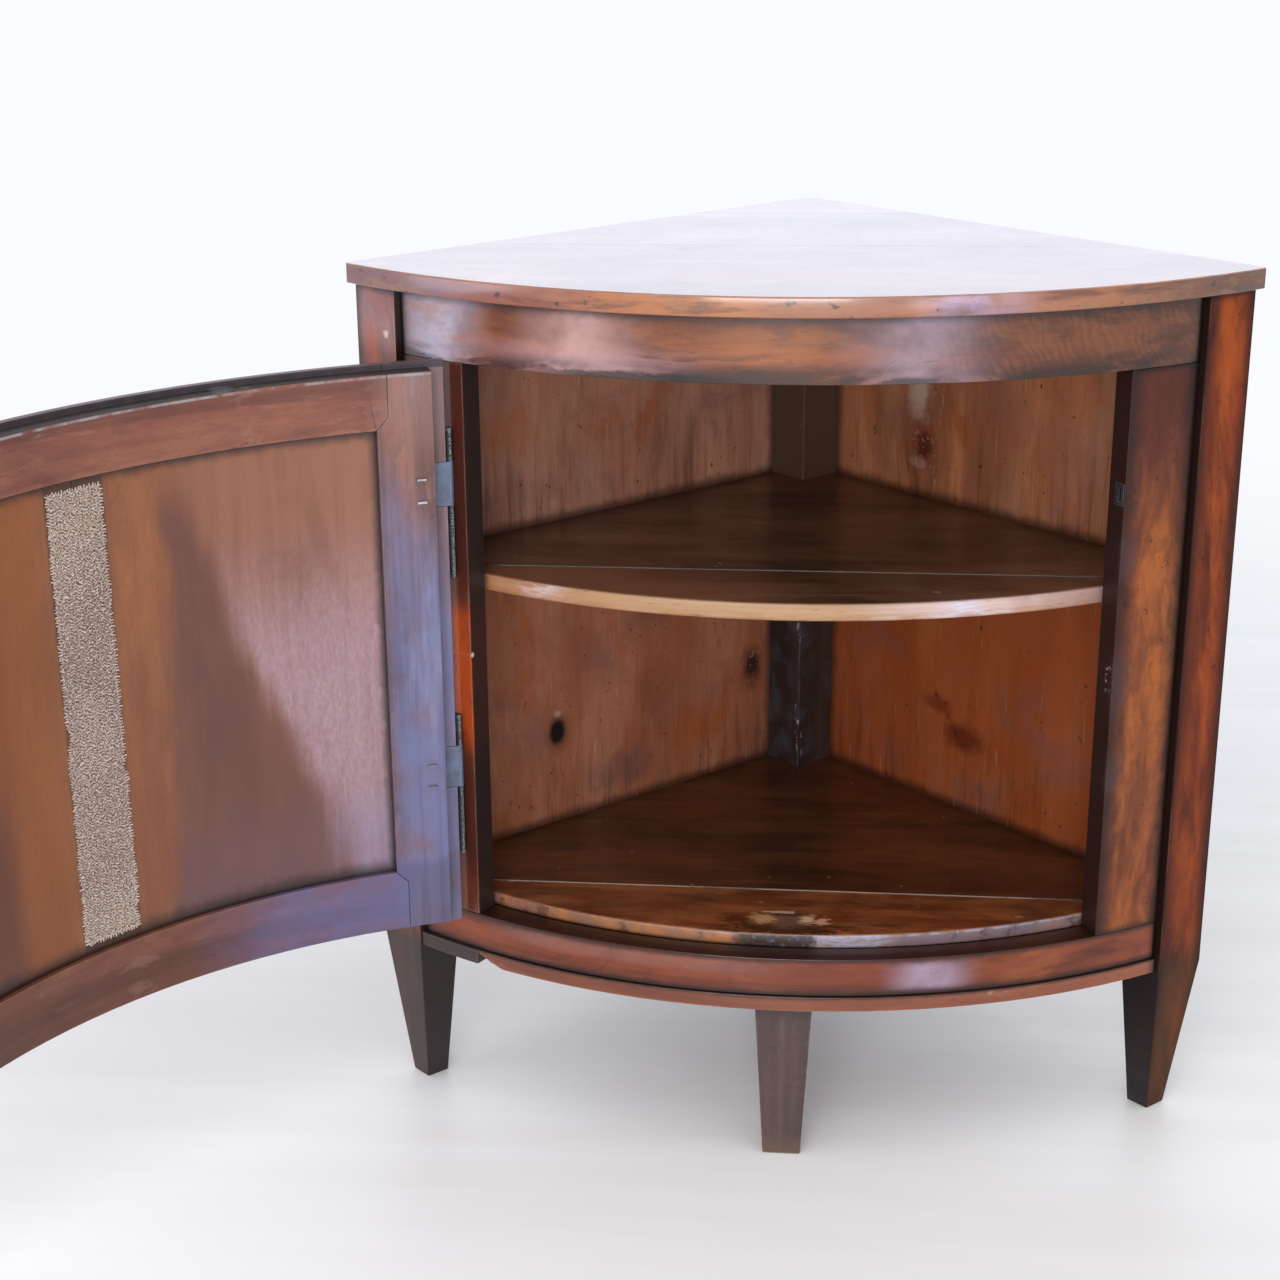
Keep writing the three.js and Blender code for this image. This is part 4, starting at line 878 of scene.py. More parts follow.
def mark_panel(w):
    """Orange by the linen, a purple-brown sweep, and a pale lilac painted sheen low on the hinge
    side.
    """
    outside = w.blend(0.65, w.colour, tone('7a4024'))
    stray = w.plus(w.uneven(0.07, w.here, 5, 2),
                   w.uneven(0.03, w.grain_place, (5, 60, 60), 4, 0.6))
    # distance from the linen towards the hinges, straight and leaning
    far = w.plus(w.minus(LINEN_ALONG, w.along), stray)
    leaning = w.minus(far, w.times(w.minus(0.53, w.up), 0.36))
    beyond = w.minus(w.along, LINEN_ALONG)
    hinge_side = w.rise(leaning, 0.165, 0.205)
    low = w.rise(w.up, 0.7, 0.5)
    # painted sheen: pale lilac low on the hinge side, with a fine speckle
    mist = w.spots((280, 280, 120), 0.3, 0.75, 5, 0.7)
    w.stains(((w.rise(w.up, 0.62, 0.72), w.rise(far, 0.1, 0.2)), 'a0684a', 0.55),
             (hinge_side, '9c6a58', 0.5),
             ((hinge_side, low), 'b296a8', 0.55),
             ((hinge_side, low, mist), 'cdbace', 0.38))
    w.sheen_and_wax_bloom((w.rise(w.up, 0.4, 0.31), hinge_side), 'b4aad0', 0.85)
    sweep = w.times(w.rise(far, 0.078, 0.1), w.rise(leaning, 0.205, 0.165))
    heart = w.times(w.rise(far, 0.095, 0.125), w.rise(leaning, 0.17, 0.12))
    w.stains(((sweep, w.rise(w.up, 0.745, 0.69)), '643f3d', 0.72),
             ((heart, w.mottled(5, 0.4, 0.62)), '55363a', 0.35),
             (w.streaks((4, 70, 70), 0.46, 0.7, 4, 0.62), '6a4034', 0.25),
             ((w.rise(w.up, 0.44, 0.31), w.rise(far, 0.07, 0.1)), '73545f', 0.45),
             (w.rise(beyond, 0.035, 0.055), '95501a', 0.5),
             ((w.rise(beyond, 0.085, 0.12), w.rise(w.up, 0.56, 0.4)), '5b342c', 0.75),
             (w.mottled(6, 0.54, 0.7), '6d3f26', 0.3))
    # painted shade in the panel's recess along its edges and beside the linen strip
    w.lay_shade_and_dirt(w.minus(w.up, PANEL_BOTTOM), 0.021, '160c09', 0.88)
    w.lay_shade_and_dirt(w.minus(PANEL_TOP, w.up), 0.013, '160c09', 0.88)
    half = PANEL_HALF_ANGLE * DOOR_INNER_RADIUS
    w.lay_shade_and_dirt(w.minus(half, w.unsigned(w.along)), 0.01, '160c09', 0.85)
    from_linen = w.from_value(w.along, LINEN_ANGLE * DOOR_INNER_RADIUS)
    w.lay_shade_and_dirt(w.minus(from_linen, 0.0305), 0.004, '3a1c10', 0.6)
    w.colour = w.blend(w.rise(w.out, -0.0105, -0.0085), outside, w.colour)


REDDISH = ('42190f', '8a4529', 'ad6538')
# The worn front edges at their left, middle and right
SHELF_EDGE = ('a87650', 'ad8862', 'c4aaa2')
FLOOR_EDGE = ('875f52', '946a54', '70656e')
# Painted highlights along a front edge, where it reflects light: from, to and tone
SHELF_EDGE_HIGHLIGHTS = ((-0.28, -0.24, 'c8b2b0'), (0.16, 0.215, 'c6c4d6'))
FLOOR_EDGE_HIGHLIGHTS = ((0.045, 0.11, 'a4a4b8'),)
# Knots of the walls: along, up, radius and kind
LEFT_KNOTS = ((0.392, 0.344, 0.0095, 'hole'), (0.096, 0.36, 0.0105, 'tight'))
RIGHT_KNOTS = ((0.208, 0.65, 0.0125, 'red'),)
# Blotches on the walls: along, up, half width, half height, tone and share
LEFT_BLOTCHES = (
    (0.391, 0.366, 0.008, 0.006, 'b9a191', 0.6), (0.25, 0.36, 0.04, 0.05, '6a3017', 0.35),
    (0.3, 0.275, 0.06, 0.03, '5d403c', 0.5), (0.45, 0.7, 0.05, 0.04, '9c5220', 0.5),
    (0.098, 0.352, 0.02, 0.034, '3c1f15', 0.55), (0.19, 0.3, 0.05, 0.04, '9a4c16', 0.5))
RIGHT_BLOTCHES = (
    (0.2, 0.715, 0.02, 0.045, 'b9a596', 0.6), (0.287, 0.322, 0.036, 0.022, '4a1509', 0.75),
    (0.2, 0.628, 0.016, 0.008, 'b89c90', 0.5), (0.245, 0.352, 0.032, 0.014, '5f1c0a', 0.6),
    (0.33, 0.7, 0.06, 0.05, '8a5648', 0.4), (0.225, 0.45, 0.02, 0.1, '9c6030', 0.35),
    (0.42, 0.66, 0.05, 0.06, '8c584a', 0.4))
# Cracks in the walls: along, up, lean from level, length, width and tone
LEFT_CRACKS = ((0.15, 0.395, 1.3, 0.05, 0.0035, '4a2413'),)
RIGHT_CRACKS = (
    (0.235, 0.372, -0.85, 0.085, 0.004, '3a170b'), (0.214, 0.64, 0.9, 0.03, 0.004, '2e140c'),
    (0.225, 0.6, 1.5, 0.12, 0.002, 'b08468'))

wooden('top_walnut', straight, ('5f3323', '8d533a', 'b27b5c'), band=0.045, lines=34, board=3,
       figure=0.35, patch=0.35, wear=0.3, rough=0.22, coat=1, shine=0.5, relief=0.15, scratch=0.15,
       marks=mark_top)
wooden('frieze_walnut', on_bow, REDDISH, band=0.022, lines=46, board=1, curl=0.08, patch=0.7,
       wear=0.6, rough=0.3, coat=0.45, depth=(0.64, 0.61, 0.55), marks=mark_frieze)
wooden('bottom_rail_walnut', on_bow, ('451c12', '7a3a26', '9c5434'), band=0.02, board=7, patch=0.6,
       rough=0.34, coat=0.15, depth=(0.64, 0.52, 0.4), marks=mark_rail)
wooden('base_strip_walnut', on_bow, ('43211a', '71402f', '93583f'), band=0.02, board=9, patch=0.6,
       wear=0.9, rough=0.42, depth=(0.92, 0.84, 0.78), marks=mark_strip)
wooden('left_stile_walnut', on_bow, ('3a1710', '6b3020', '8f4a2c'), upright=True, band=0.02,
       board=11, patch=0.7, rough=0.34, marks=mark_left_stile)
wooden('right_stile_walnut', on_bow, ('4a2115', '83462b', 'a5643a'), upright=True, band=0.024,
       board=12, coat=0.1, shine=0.25, scratch=0.12, depth=(0.74, 0.59, 0.5),
       marks=mark_right_stile)
wooden('left_post_walnut', on_wall(-1), ('3e1d13', '7d4028', '9c5634'), upright=True, band=0.02,
       board=14, wear=0.6, rough=0.34, depth=(0.86, 0.74, 0.66), marks=post_marks(-1))
wooden('right_post_walnut', on_wall(1), ('3a180e', '7f3d1e', 'a35726'), upright=True, band=0.02,
       board=15, wear=0.3, worn='5a3a2a', rough=0.45, coat=0, shine=0.14, depth=(0.66, 0.41, 0.28),
       marks=post_marks(1))
wooden('blackened_walnut', straight, ('140d0b', '2a1e1b', '3a2c28'), board=17, patch=0.6,
       worn='7b6f68', rough=0.48)
wooden('rear_post_walnut', on_wall(1), ('130c0a', '2b1e19', '3c2b22'), upright=True, board=18,
       worn='8c8078', rough=0.5, coat=0.15, marks=mark_rear_post)
wooden('centre_foot_walnut', straight, ('3a2019', '5f3a30', '7c4b3a'), upright=True, band=0.02,
       board=19, wear=1, worn='b4713f', rough=0.45, depth=(0.52, 0.8, 1.08),
       marks=mark_centre_foot)
wooden('left_wall_softwood', on_wall(-1), ('5c2f1b', '9a6650', 'b07f66'), upright=True, band=0.05,
       lines=70, board=21, figure=0.14, patch=0.3, wear=0.2, rough=0.55, coat=0, shine=0.25,
       fibre=0.4, scratch=0.3, marks=wall_marks(-1, LEFT_KNOTS, LEFT_BLOTCHES, LEFT_CRACKS, 0.45))
wooden('right_wall_softwood', on_wall(1), ('562810', '9c5e42', 'b4764e'), upright=True, band=0.05,
       lines=64, board=24, figure=0.14, patch=0.35, wear=0.2, rough=0.52, coat=0, shine=0.22,
       fibre=0.4, scratch=0.3,
       marks=wall_marks(1, RIGHT_KNOTS, RIGHT_BLOTCHES, RIGHT_CRACKS, 0.78, '84370b'))
wooden('shelf_walnut', straight, ('26160d', '4a2e1d', '684430'), band=0.04, lines=50, board=27,
       figure=0.3, wear=0.1, worn='a88362', coat=0.3, marks=mark_shelf)
wooden('floor_walnut', straight, ('22120a', '462615', '663820'), band=0.04, lines=50, board=31,
       figure=0.3, wear=0.3, worn='a88362', rough=0.34, coat=0.35,
       marks=board_marks(FLOOR_RADIUS, FLOOR_HEIGHT, FLOOR_EDGE, FLOOR_EDGE_HIGHLIGHTS, '6e4228',
                         [(FLOOR_SEAMS[0], 0.4, 0.54, 'a58468', 0.6),
                          (FLOOR_SEAMS[1], 0.6, 0.7, '7d5c48', 0.4)]))
wooden('floor_front_walnut', straight, ('3c1c0e', '7c4122', '9a5c32'), lines=50, board=34,
       wear=0.4, worn='b59070', rough=0.34, coat=0.4, marks=mark_floor_front)
wooden('bearer_wood', straight, ('20120b', '3a2416', '543522'), board=37, wear=0.3, rough=0.6,
       coat=0)
wooden('door_stile_walnut', on_door, ('4a2620', '80503f', '9a6450'), upright=True, band=0.018,
       board=41, wear=0.6, coat=0.3, depth=(0.68, 0.76, 0.84), marks=mark_door_frame)
wooden('door_rail_walnut', on_door, ('4b2219', '834332', '9f5c44'), band=0.018, board=43,
       patch=0.55, wear=0.6, rough=0.38, coat=0.25, depth=(0.74, 0.88, 0.95),
       marks=mark_door_frame)
wooden('panel_wood', on_door, ('5a2d18', '8c5334', 'a4673f'), upright=True, band=0.05, lines=50,
       board=46, patch=0.25, wear=0.2, rough=0.42, coat=0.3, scratch=0.2, relief=0.2,
       depth=(0.7, 0.68, 0.65), marks=mark_panel)


def metal(name, tones, rough, rust, metallic, rubbed=None):
    """Old worked metal: patches of two tones, rust in the low spots, and bright rubbed edges.

    rubbed is the way that a bright broken line along a barrel faces: a rubbed line, painted
    brighter as a highlight.
    """
    b = Bench(new_material(name))
    here = b.node('ShaderNodeTexCoord').outputs['Object']
    patches = b.cloud(here, 60, 5, 0.65)
    layers = [(b.patchy(here, 130, 0.55, 0.7, 4, 0.7), rust, '3c2418'),
              (b.use(worn_arris, Place=here, Width=0.0012)['Mask'], 0.7, tones[2])]
    if rubbed:
        # painted highlight: the bright broken line on the barrel's side that faces the given way
        broken = b.patchy(here, (400, 400, 700), 0.42, 0.62, 4, 0.7)
        line = b.times(b.rise(b.towards(b.normal(), rubbed), 0.9, 0.985), broken)
        layers.append((line, 0.7, tones[2]))
    colour = b.blend(b.rise(patches, 0.35, 0.65), tone(tones[0]), tone(tones[1]))
    for mask, share, layer_tone in layers:
        colour = b.blend(b.times(mask, share), colour, tone(layer_tone))
    b.finish(b.principled(Base_Color=colour, Metallic=metallic,
                          Roughness=b.scaled(patches, 0.3, rough - 0.15),
                          Normal=b.bump(b.cloud(here, 220, 3, 0.6), 0.5, 0.0006)))


metal('old_iron', ('4e5568', '606a80', '9aa2b4'), 0.5, 0.3, 0.2)
metal('dark_iron', ('1a1c20', '34373e', 'a4a9b2'), 0.45, 0.35, 0.4)
metal('barrel_iron', ('121316', '1c1e22', '9a9ea6'), 0.55, 0.2, 0.2, (0.62, -0.78, 0))
metal('nail_iron', ('82858c', 'b0b3ba', 'e2e4e8'), 0.38, 0.3, 0.5)
metal('dull_nail_iron', ('4c4a5e', '6c6a84', '8a88a4'), 0.55, 0.3, 0.1)
metal('dull_brass', ('7d5c2b', 'a8843f', 'd8b86a'), 0.38, 0.25, 0.9)

# How far the arrises of the wooden pieces are rounded, in metres
FOOT_ARRIS, FRAME_ARRIS, FLOOR_ARRIS = 0.001, 0.0007, 0.0006
TOP_NOSE, SHELF_NOSE, FLOOR_NOSE = 0.0022, 0.0045, 0.0032
# What counts as one point, as flat, as an arris, and as lying on the front of a board
SAME_POINT = 0.00001
FLAT_ANGLE, SMOOTH_ANGLE, ARRIS_ANGLE = (math.radians(degrees) for degrees in (0.6, 12, 38))
SHORTEST_ARRIS = 0.005
LEVEL_WITHIN, ON_FRONT_WITHIN = 0.0002, 0.0004


def eased(node, finish, width=0, nose=None):
    """A copy of a CAD node with rounded arrises and smooth bowed faces.

    nose is the radius that the front edges lie on, and how far those are rounded.
    """
    form = bmesh.new()
    form.from_mesh(frame["nodes"][node].data)
    bmesh.ops.remove_doubles(form, verts=form.verts, dist=SAME_POINT)
    bmesh.ops.dissolve_limit(form, angle_limit=FLAT_ANGLE, verts=form.verts, edges=form.edges)
    bmesh.ops.recalc_face_normals(form, faces=form.faces)

    def sharp(edge):
        return (len(edge.link_faces) == 2 and edge.calc_face_angle(0) > ARRIS_ANGLE
                and edge.calc_length() > SHORTEST_ARRIS)

    def on_rim(edge, radius):
        low, high = (v.co for v in edge.verts)
        return abs(low.z - high.z) < LEVEL_WITHIN and all(
            abs((co - BOW_CENTRE).xy.length - radius) < ON_FRONT_WITHIN for co in (low, high))

    def rounded(edges, offset, **settings):
        bmesh.ops.bevel(form, geom=edges, offset=offset, profile=0.5, affect='EDGES',
                        clamp_overlap=False, **settings)

    if nose:
        radius, size = nose
        rounded([e for e in form.edges if sharp(e) and on_rim(e, radius)], size, segments=5)
    if width:
        rounded([e for e in form.edges if sharp(e)], width, segments=2)
    bmesh.ops.triangulate(form, faces=[f for f in form.faces if len(f.verts) > 4])
    mesh = bpy.data.meshes.new(f'{node}_eased')
    form.to_mesh(mesh)
    form.free()
    mesh.shade_smooth()
    mesh.set_sharp_from_angle(angle=SMOOTH_ANGLE)
    mesh.materials.append(finishes[finish])
    piece = add_object(f'{node}_eased', mesh)
    record = frame["record"]
    bodies = record["behaviour"]["bodies"].items()
    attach(piece, next(name for name, nodes in bodies if node in nodes))
    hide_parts(node)


for board in ('front', 'middle', 'rear'):
    eased(f'top_{board}_board', 'top_walnut', nose=(TOP_RADIUS, TOP_NOSE))
    eased(f'shelf_{board}_board', 'shelf_walnut', nose=(SHELF_RADIUS, SHELF_NOSE))
eased('floor_front_board', 'floor_front_walnut', FLOOR_ARRIS, (FLOOR_RADIUS, FLOOR_NOSE))
for board in ('middle', 'rear'):
    eased(f'floor_{board}_board', 'floor_walnut', nose=(FLOOR_RADIUS, FLOOR_NOSE))
eased('frieze_rail', 'frieze_walnut', FRAME_ARRIS)
for node in ('bottom_rail', 'base_strip'):
    eased(node, f'{node}_walnut', FRAME_ARRIS)
eased('base_strip_left_block', 'blackened_walnut', FRAME_ARRIS)
for node in ('left_stile', 'right_stile'):
    eased(node, f'{node}_walnut', FRAME_ARRIS)
for node in ('left_post', 'right_post', 'rear_post', 'centre_foot'):
    eased(node, f'{node}_walnut', FOOT_ARRIS)
for piece, finish in (
        ('hinge_stile', 'door_stile_walnut'), ('lock_stile', 'door_stile_walnut'),
        ('top_rail', 'door_rail_walnut'), ('bottom_rail', 'door_rail_walnut'),
        ('panel_hinge_board', 'panel_wood'), ('panel_lock_board', 'panel_wood')):
    eased(f'door_{piece}', finish, FRAME_ARRIS)

# Pieces that keep the shape of their solid
plain = {'old_iron': ['lock_case', 'lock_bolt', 'key'], 'dark_iron': ['keeper_plate'],
         'dull_brass': ['escutcheon'], 'barrel_iron': [], 'bearer_wood': ['floor_front_bearer']}
for word, nail in (('upper', 'nail_iron'), ('lower', 'dull_nail_iron')):
    plain['old_iron'].append(f'{word}_hinge_door_leaf')
    plain['barrel_iron'] += [f'{word}_hinge_frame_leaf', f'{word}_hinge_pin']
    plain[nail] = [f'{word}_hinge_{part}_nail_{i}' for part in ('door', 'frame') for i in (1, 2)]
for word in ('left', 'right'):
    plain[f'{word}_wall_softwood'] = [f'{word}_wall_{board}_board' for board in ('rear', 'front')]
    plain['bearer_wood'] += [f'{level}_{word}_bearer' for level in ('shelf', 'floor')]
for finish, nodes in plain.items():
    for node in nodes:
        data = frame["nodes"][node].data
        data.materials.clear()
        data.materials.append(finishes[finish])


# The linen strip glued over the joint of the door panel's boards
def linen_finish():
    b = Bench(new_material('coarse_linen'))
    here = b.node('ShaderNodeTexCoord').outputs['Object']
    yarn = b.node('ShaderNodeAttribute', attribute_name='yarn').outputs['Fac']
    from_middle = b.unsigned(b.minus(b.parts(here)[2], 0.52))
    colour = b.blend(b.patchy(here, 17, 0.35, 0.68, 4, 0.6), tone('7d645a'), tone('927a6f'))
    for mask, share, layer_tone in (
            (b.rise(from_middle, 0.1, 0.21), 0.4, 'a89580'),
            (b.patchy(here, (300, 300, 900), 0.5, 0.66, 3, 0.6), 0.85, 'd0c3b9'),
            (b.rise(yarn, 0.64, 0.84), 0.6, 'c6b8ae'),
            # painted shade: the hollows between the yarns are laid dark
            (b.rise(yarn, 0.54, 0.26), 0.9, '3e2c26'),
            (b.patchy(here, 42, 0.58, 0.7, 4, 0.7), 0.4, '7a6152')):
        colour = b.blend(b.times(mask, share), colour, tone(layer_tone))
    fuzz = b.bump(b.cloud(here, 1800, 2, 0.6), 0.4, 0.0003)
    b.finish(b.principled(Base_Color=colour, Roughness=0.92, Normal=fuzz, Sheen_Weight=0.25,
                          Sheen_Roughness=0.5))


linen_finish()


def on_panel(across, up, lift):
    """A point on the panel's inner face: across from the strip's middle to the lock, up, off."""
    angle = LINEN_ANGLE + across / PANEL_INNER_RADIUS
    radius = PANEL_INNER_RADIUS - GLUE - lift
    return opened(BOW_CENTRE + Vector((radius * math.sin(angle), -radius * math.cos(angle), up)))


def wander(x, y, z):
    return noise.noise(Vector((x, y, z)))


# Torn places on the strip's two long edges: how deep, how high up, and half height
TEARS = {1: ((0.0045, 0.515, 0.007),), -1: ((0.003, 0.47, 0.004), (0.0035, 0.318, 0.009))}
LOOP_SPACING = 0.0046
STEPS_ACROSS, STEPS_UP = 112, 840
CLOTH, RELIEF = 0.00025, 0.0006


def linen_edge(side, up):
    """How far the strip reaches to one side: a little wavy, wider at the bottom, torn in places."""
    share = (up - LINEN_BOTTOM) / LINEN_LENGTH
    reach = LINEN_WIDTH / 2 * (1.05 - 0.08 * share)
    reach += 0.0011 * wander(side * 5, up * 30, 0) + 0.0006 * wander(side * 9, up * 140, 3)
    # the weft comes out in loops
    loops = abs(math.sin(math.pi * up / LOOP_SPACING + 2 * wander(7, up * 60, side)))
    reach += (0.0019 if side > 0 else 0.0008) * (loops ** 0.8 - 0.5)
    for deep, at, tall in TEARS[side]:
        reach -= deep * math.exp(-((up - at) / tall) ** 2)
    return reach


def linen_height(across, up):
    """The cloth's surface: a zigzag twill of thick and thin yarns."""
    u, v = across / YARN, (up - LINEN_BOTTOM) / (YARN * 1.05)
    zigzag = abs((u / 4) % 2 - 1) * 4
    slack = 1.6 * wander(across * 150, up * 150, 5)
    ridge = math.sin(math.pi * (v + zigzag * 0.55 + slack))
    over = math.sin(math.pi * (u + 0.6 * slack)) * math.sin(math.pi * v)
    thick = wander(across * 560, up * 560, 1)
    return 0.5 + 0.17 * over + 0.19 * ridge + 0.46 * thick


def linen_strip():
    wide, tall = STEPS_ACROSS, STEPS_UP
    margin = 0.0015
    form = bmesh.new()
    rows, heights = [], []
    for j in range(tall + 1):
        up = LINEN_BOTTOM + margin + (LINEN_LENGTH - 2 * margin) * j / tall
        low, high = -linen_edge(-1, up), linen_edge(1, up)
        row = []
        for i in range(wide + 1):
            across = low + (high - low) * i / wide
            height = linen_height(across, up)
            # the cloth lies flatter in its last four steps to an edge
            edge = min(i, wide - i, j, tall - j, 4) / 4
            lift = CLOTH + RELIEF * height * (0.4 + 0.6 * edge)
            row.append(form.verts.new(on_panel(across, up, lift)))
            heights.append(height)
        rows.append(row)
    for low_row, high_row in zip(rows, rows[1:]):
        for i in range(wide):
            form.faces.new((low_row[i], high_row[i], high_row[i + 1], low_row[i + 1]))
    mesh = bpy.data.meshes.new('linen_strip_cloth')
    form.to_mesh(mesh)
    form.free()
    mesh.attributes.new('yarn', 'FLOAT', 'POINT').data.foreach_set('value', heights)
    mesh.shade_smooth()
    mesh.materials.append(finishes['coarse_linen'])
    return add_object('linen_strip_cloth', mesh)


THREADS = {'Spacing': 0.003, 'Length': 0.0042, 'Thickness': 0.0006, 'Seed': 11}
FRAY_STEPS_UP, FRAY_STEPS_ACROSS = 199, 29
# How far in from the strip's ends the threads start, and how high off the panel
CORNER_INSET, END_INSET, THREAD_LIFT = 0.003, 0.0016, 0.0005
END_HALF_WIDTH = 0.028


def thread_tree():
    """Frayed threads along a path: short bent tubes that stand out sideways from it."""
    tree = bpy.data.node_groups.new('frayed threads', 'GeometryNodeTree')

    def declare(label, kind, way='INPUT'):
        return tree.interface.new_socket(name=label, in_out=way, socket_type='NodeSocket' + kind)

    declare('Geometry', 'Geometry')
    for label, value in THREADS.items():
        declare(label, 'Int' if label == 'Seed' else 'Float').default_value = value
    declare('Material', 'Material')
    declare('Geometry', 'Geometry', 'OUTPUT')
    b = Bench(tree)
    given = tree.nodes.new('NodeGroupInput').outputs
    curve = b.node('GeometryNodeMeshToCurve', {0: given['Geometry']}).outputs[0]
    points = b.node('GeometryNodeCurveToPoints', {'Curve': curve, 'Length': given['Spacing']},
                    mode='LENGTH').outputs[0]
    tube = b.node('GeometryNodeMeshCylinder', {'Vertices': 5, 'Side Segments': 4,
                                               'Radius': given['Thickness'],
                                               'Depth': given['Length']}).outputs[0]
    place = b.vector('MULTIPLY', b.node('GeometryNodeInputPosition').outputs[0], (260, 260, 260))
    bend = b.node('ShaderNodeTexNoise', {'Vector': place, 'Scale': 1}).outputs['Color']
    bend = b.vector('MULTIPLY', b.vector('SUBTRACT', bend, (0.5, 0.5, 0.5)), (0.0012, 0.0012, 0))
    bent = b.node('GeometryNodeSetPosition', {'Geometry': tube, 'Offset': bend}).outputs[0]
    side = b.node('GeometryNodeInputNamedAttribute', {'Name': 'side'},
                  data_type='FLOAT_VECTOR').outputs[0]
    seed = given['Seed']
    spread = b.node('FunctionNodeRandomValue', {0: (-0.5, -0.5, -0.5), 1: (0.5, 0.5, 0.5),
                                                'Seed': seed}, data_type='FLOAT_VECTOR').outputs[0]
    lean = b.node('FunctionNodeAlignRotationToVector', {'Vector': b.vector('ADD', side, spread)},
                  axis='Z').outputs[0]
    size = b.node('FunctionNodeRandomValue', {2: 0.5, 3: 1.25, 'Seed': seed},
                  data_type='FLOAT').outputs[1]
    laid = b.node('GeometryNodeInstanceOnPoints', {
        'Points': points, 'Instance': bent, 'Rotation': lean, 'Scale': size}).outputs[0]
    real = b.node('GeometryNodeRealizeInstances', {0: laid}).outputs[0]
    done = b.node('GeometryNodeSetMaterial', {'Geometry': real, 'Material': given['Material']})
    b.finish(done.outputs[0], 'NodeGroupOutput')
    return tree


def fray_paths():
    """Paths along the strip's four edges, each point with the way that its threads stand out."""
    runs = []
    for side in (-1, 1):
        run = []
        for j in range(FRAY_STEPS_UP + 1):
            up = LINEN_BOTTOM + CORNER_INSET
            up += (LINEN_LENGTH - 2 * CORNER_INSET) * j / FRAY_STEPS_UP
            across = side * (linen_edge(side, up) + 0.0001)
            start = on_panel(across, up, THREAD_LIFT)
            # threads stand out sideways and lift a little
            away = on_panel(across + side * 0.001, up, THREAD_LIFT + 0.0001) - start
            run.append((start, away.normalized()))
        runs.append(run)
    for way, up in ((-1, LINEN_BOTTOM + END_INSET), (1, LINEN_BOTTOM + LINEN_LENGTH - END_INSET)):
        run = []
        for j in range(FRAY_STEPS_ACROSS + 1):
            across = -END_HALF_WIDTH + 2 * END_HALF_WIDTH * j / FRAY_STEPS_ACROSS
            run.append((on_panel(across, up, THREAD_LIFT), Vector((0, 0, way))))
        runs.append(run)
    points, sides, edges = [], [], []
    for run in runs:
        start = len(points)
        points += [tuple(point) for point, _ in run]
        sides += [share for _, side in run for share in side]
        edges += [(start + i, start + i + 1) for i in range(len(run) - 1)]
    mesh = bpy.data.meshes.new('fray_paths')
    mesh.from_pydata(points, edges, [])
    mesh.attributes.new('side', 'FLOAT_VECTOR', 'POINT').data.foreach_set('vector', sides)
    return add_object('fray_paths', mesh)


def frayed_threads():
    """Loose weft ends along both long edges and a few at the two ends."""
    path = fray_paths()
    tree = thread_tree()
    modifier = path.modifiers.new('frayed threads', 'NODES')
    modifier.node_group = tree
    names = {item.name: item.identifier for item in tree.interface.items_tree
             if item.in_out == 'INPUT'}
    for label, value in {**THREADS, 'Material': finishes['coarse_linen']}.items():
        modifier[names[label]] = value
    ready = path.evaluated_get(bpy.context.evaluated_depsgraph_get())
    threads = bpy.data.meshes.new_from_object(ready)
    yarn = threads.attributes.new('yarn', 'FLOAT', 'POINT')
    yarn.data.foreach_set('value', [0.9] * len(threads.vertices))
    bpy.data.objects.remove(path)
    return add_object('linen_strip_fray', threads)


linen = linen_strip()
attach(linen, 'door')
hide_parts('linen_strip')
fray = frayed_threads()
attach(fray, 'door')


# Studio: a pale floor and backdrop, and six softboxes
def seen_directly(b):
    """1 for rays that show the studio itself, 0 for those that only light the cupboard."""
    ray = b.node('ShaderNodeLightPath').outputs
    mirrored = b.calc('MAXIMUM', ray['Is Glossy Ray'], ray['Is Transmission Ray'])
    return b.calc('MAXIMUM', ray['Is Camera Ray'], mirrored)


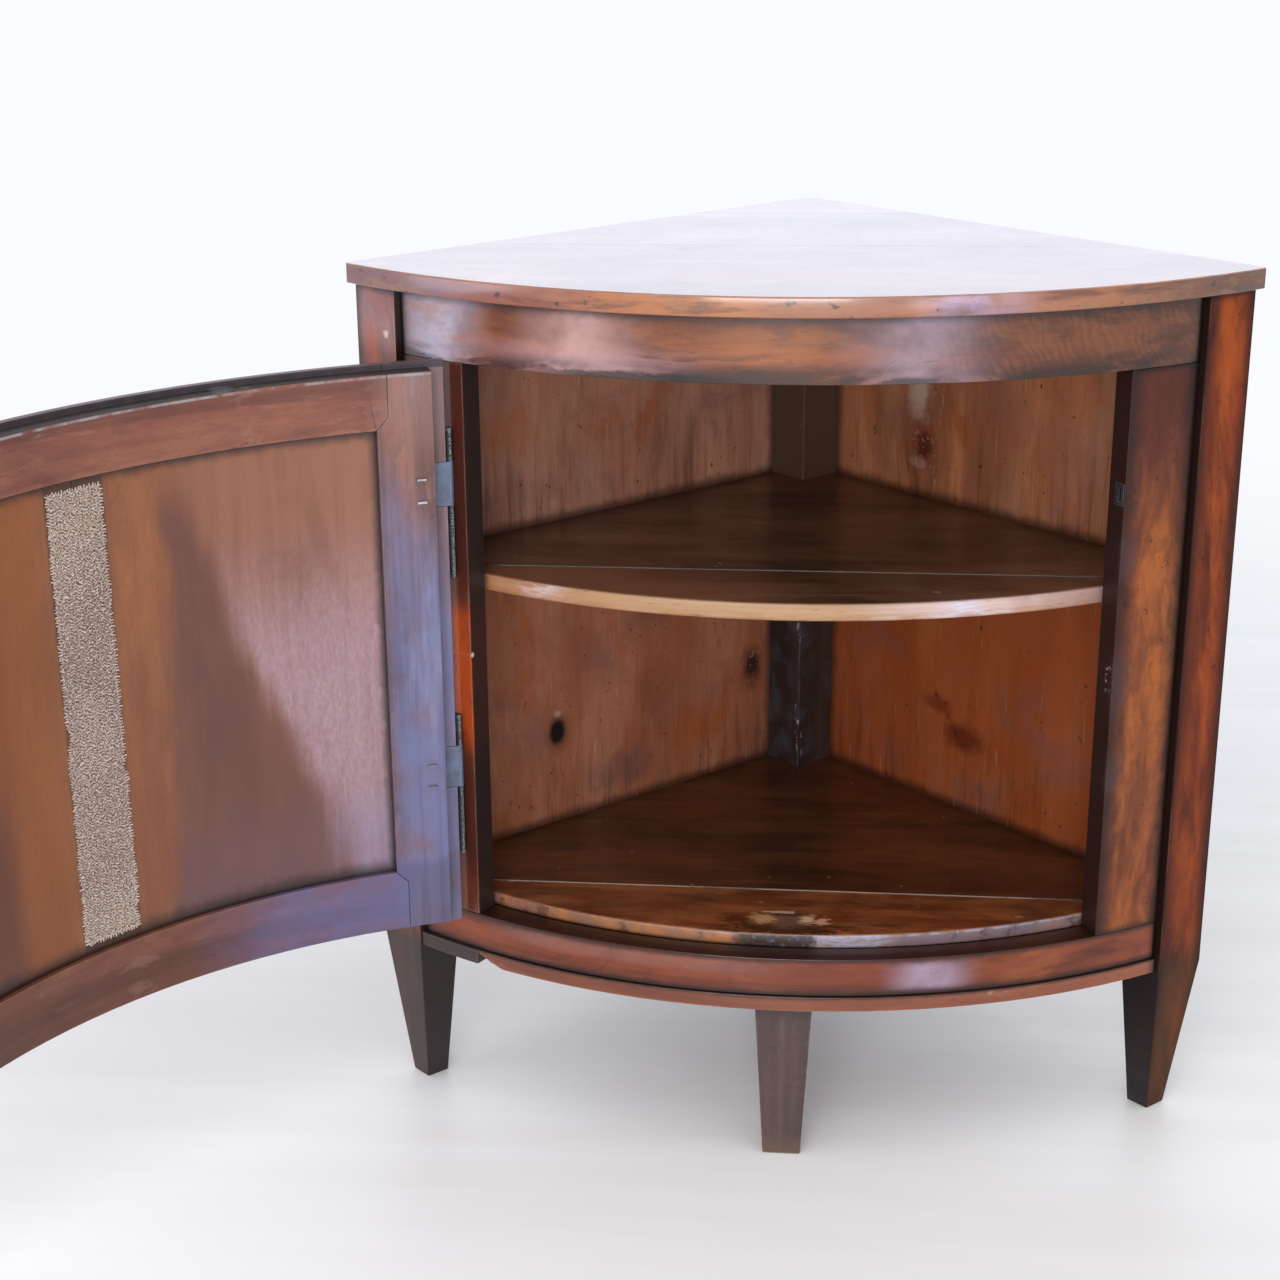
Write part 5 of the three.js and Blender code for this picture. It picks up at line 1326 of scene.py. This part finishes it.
def pale_floor():
    reach = 60
    corners = [(-reach, -reach), (reach, -reach), (reach, reach), (-reach, reach)]
    mesh = bpy.data.meshes.new('pale_floor')
    mesh.from_pydata([(x, y, -0.0005) for x, y in corners], [], [(0, 1, 2, 3)])
    b = Bench(new_material('pale_floor'))
    here = b.node('ShaderNodeTexCoord').outputs['Object']
    streaks = b.patchy(here, (0.8, 7, 1), 0.3, 0.7)
    lit = b.principled(Base_Color=b.blend(streaks, tone('f1eeeb'), tone('f8f6f4')),
                       Roughness=0.42)
    x, y, z = b.parts(here)
    away = b.rise(b.length(x, b.plus(y, 0.45)), 1, 3.2)
    white = b.node('ShaderNodeEmission', {'Color': tone('fafbff')}).outputs[0]
    share = b.times(away, seen_directly(b))
    b.finish(b.node('ShaderNodeMixShader', {0: share, 1: lit, 2: white}).outputs[0])
    mesh.materials.append(finishes['pale_floor'])
    add_object('pale_floor', mesh)


def pale_world():
    world = bpy.data.worlds.new('studio')
    bpy.context.scene.world = world
    world.use_nodes = True
    world.node_tree.nodes.clear()
    b = Bench(world.node_tree)
    light = b.node('ShaderNodeBackground', {'Color': tone('eef1f6'), 'Strength': 0.8})
    backdrop = b.node('ShaderNodeBackground', {'Color': tone('fafbff')})
    both = b.node('ShaderNodeMixShader', {0: seen_directly(b), 1: light.outputs[0],
                                          2: backdrop.outputs[0]})
    b.finish(both.outputs[0], 'ShaderNodeOutputWorld')


def softbox(name, place, aim, size, power, colour='ffffff'):
    data = bpy.data.lights.new(name, 'AREA')
    data.shape = 'RECTANGLE'
    data.size, data.size_y = size
    data.energy = power
    data.color = tone(colour)[:3]
    lamp = add_object(name, data)
    lamp.location = place
    lamp.rotation_euler = (Vector(aim) - Vector(place)).to_track_quat('-Z', 'Y').to_euler()
    lamp.visible_camera = False


pale_floor()
pale_world()
for box in (
        # name, place, aim, size, power, colour
        ('high_softbox', (-0.9, -3.8, 2.6), (0, -0.4, 0.45), (2.4, 1.8), 26),
        ('level_softbox', (-0.25, -4.4, 1.15), (0, -0.3, 0.55), (1.8, 1.0), 72),
        ('low_right_softbox', (1.85, -4.2, 0.6), (0, -0.5, 0.6), (0.9, 1.2), 16, 'cdd8ff'),
        ('left_softbox', (-3.3, -1.9, 0.8), (-0.2, -0.4, 0.6), (1.4, 1.4), 20, 'd6dfff'),
        ('back_softbox', (0.2, 3.0, 1.9), (0, -0.2, 0.85), (4.4, 2.2), 15, 'bfd9ff'),
        ('overhead_softbox', (0.2, -1.9, 3.6), (0.2, -1.9, 0), (3.0, 3.0), 24)):
    softbox(*box)
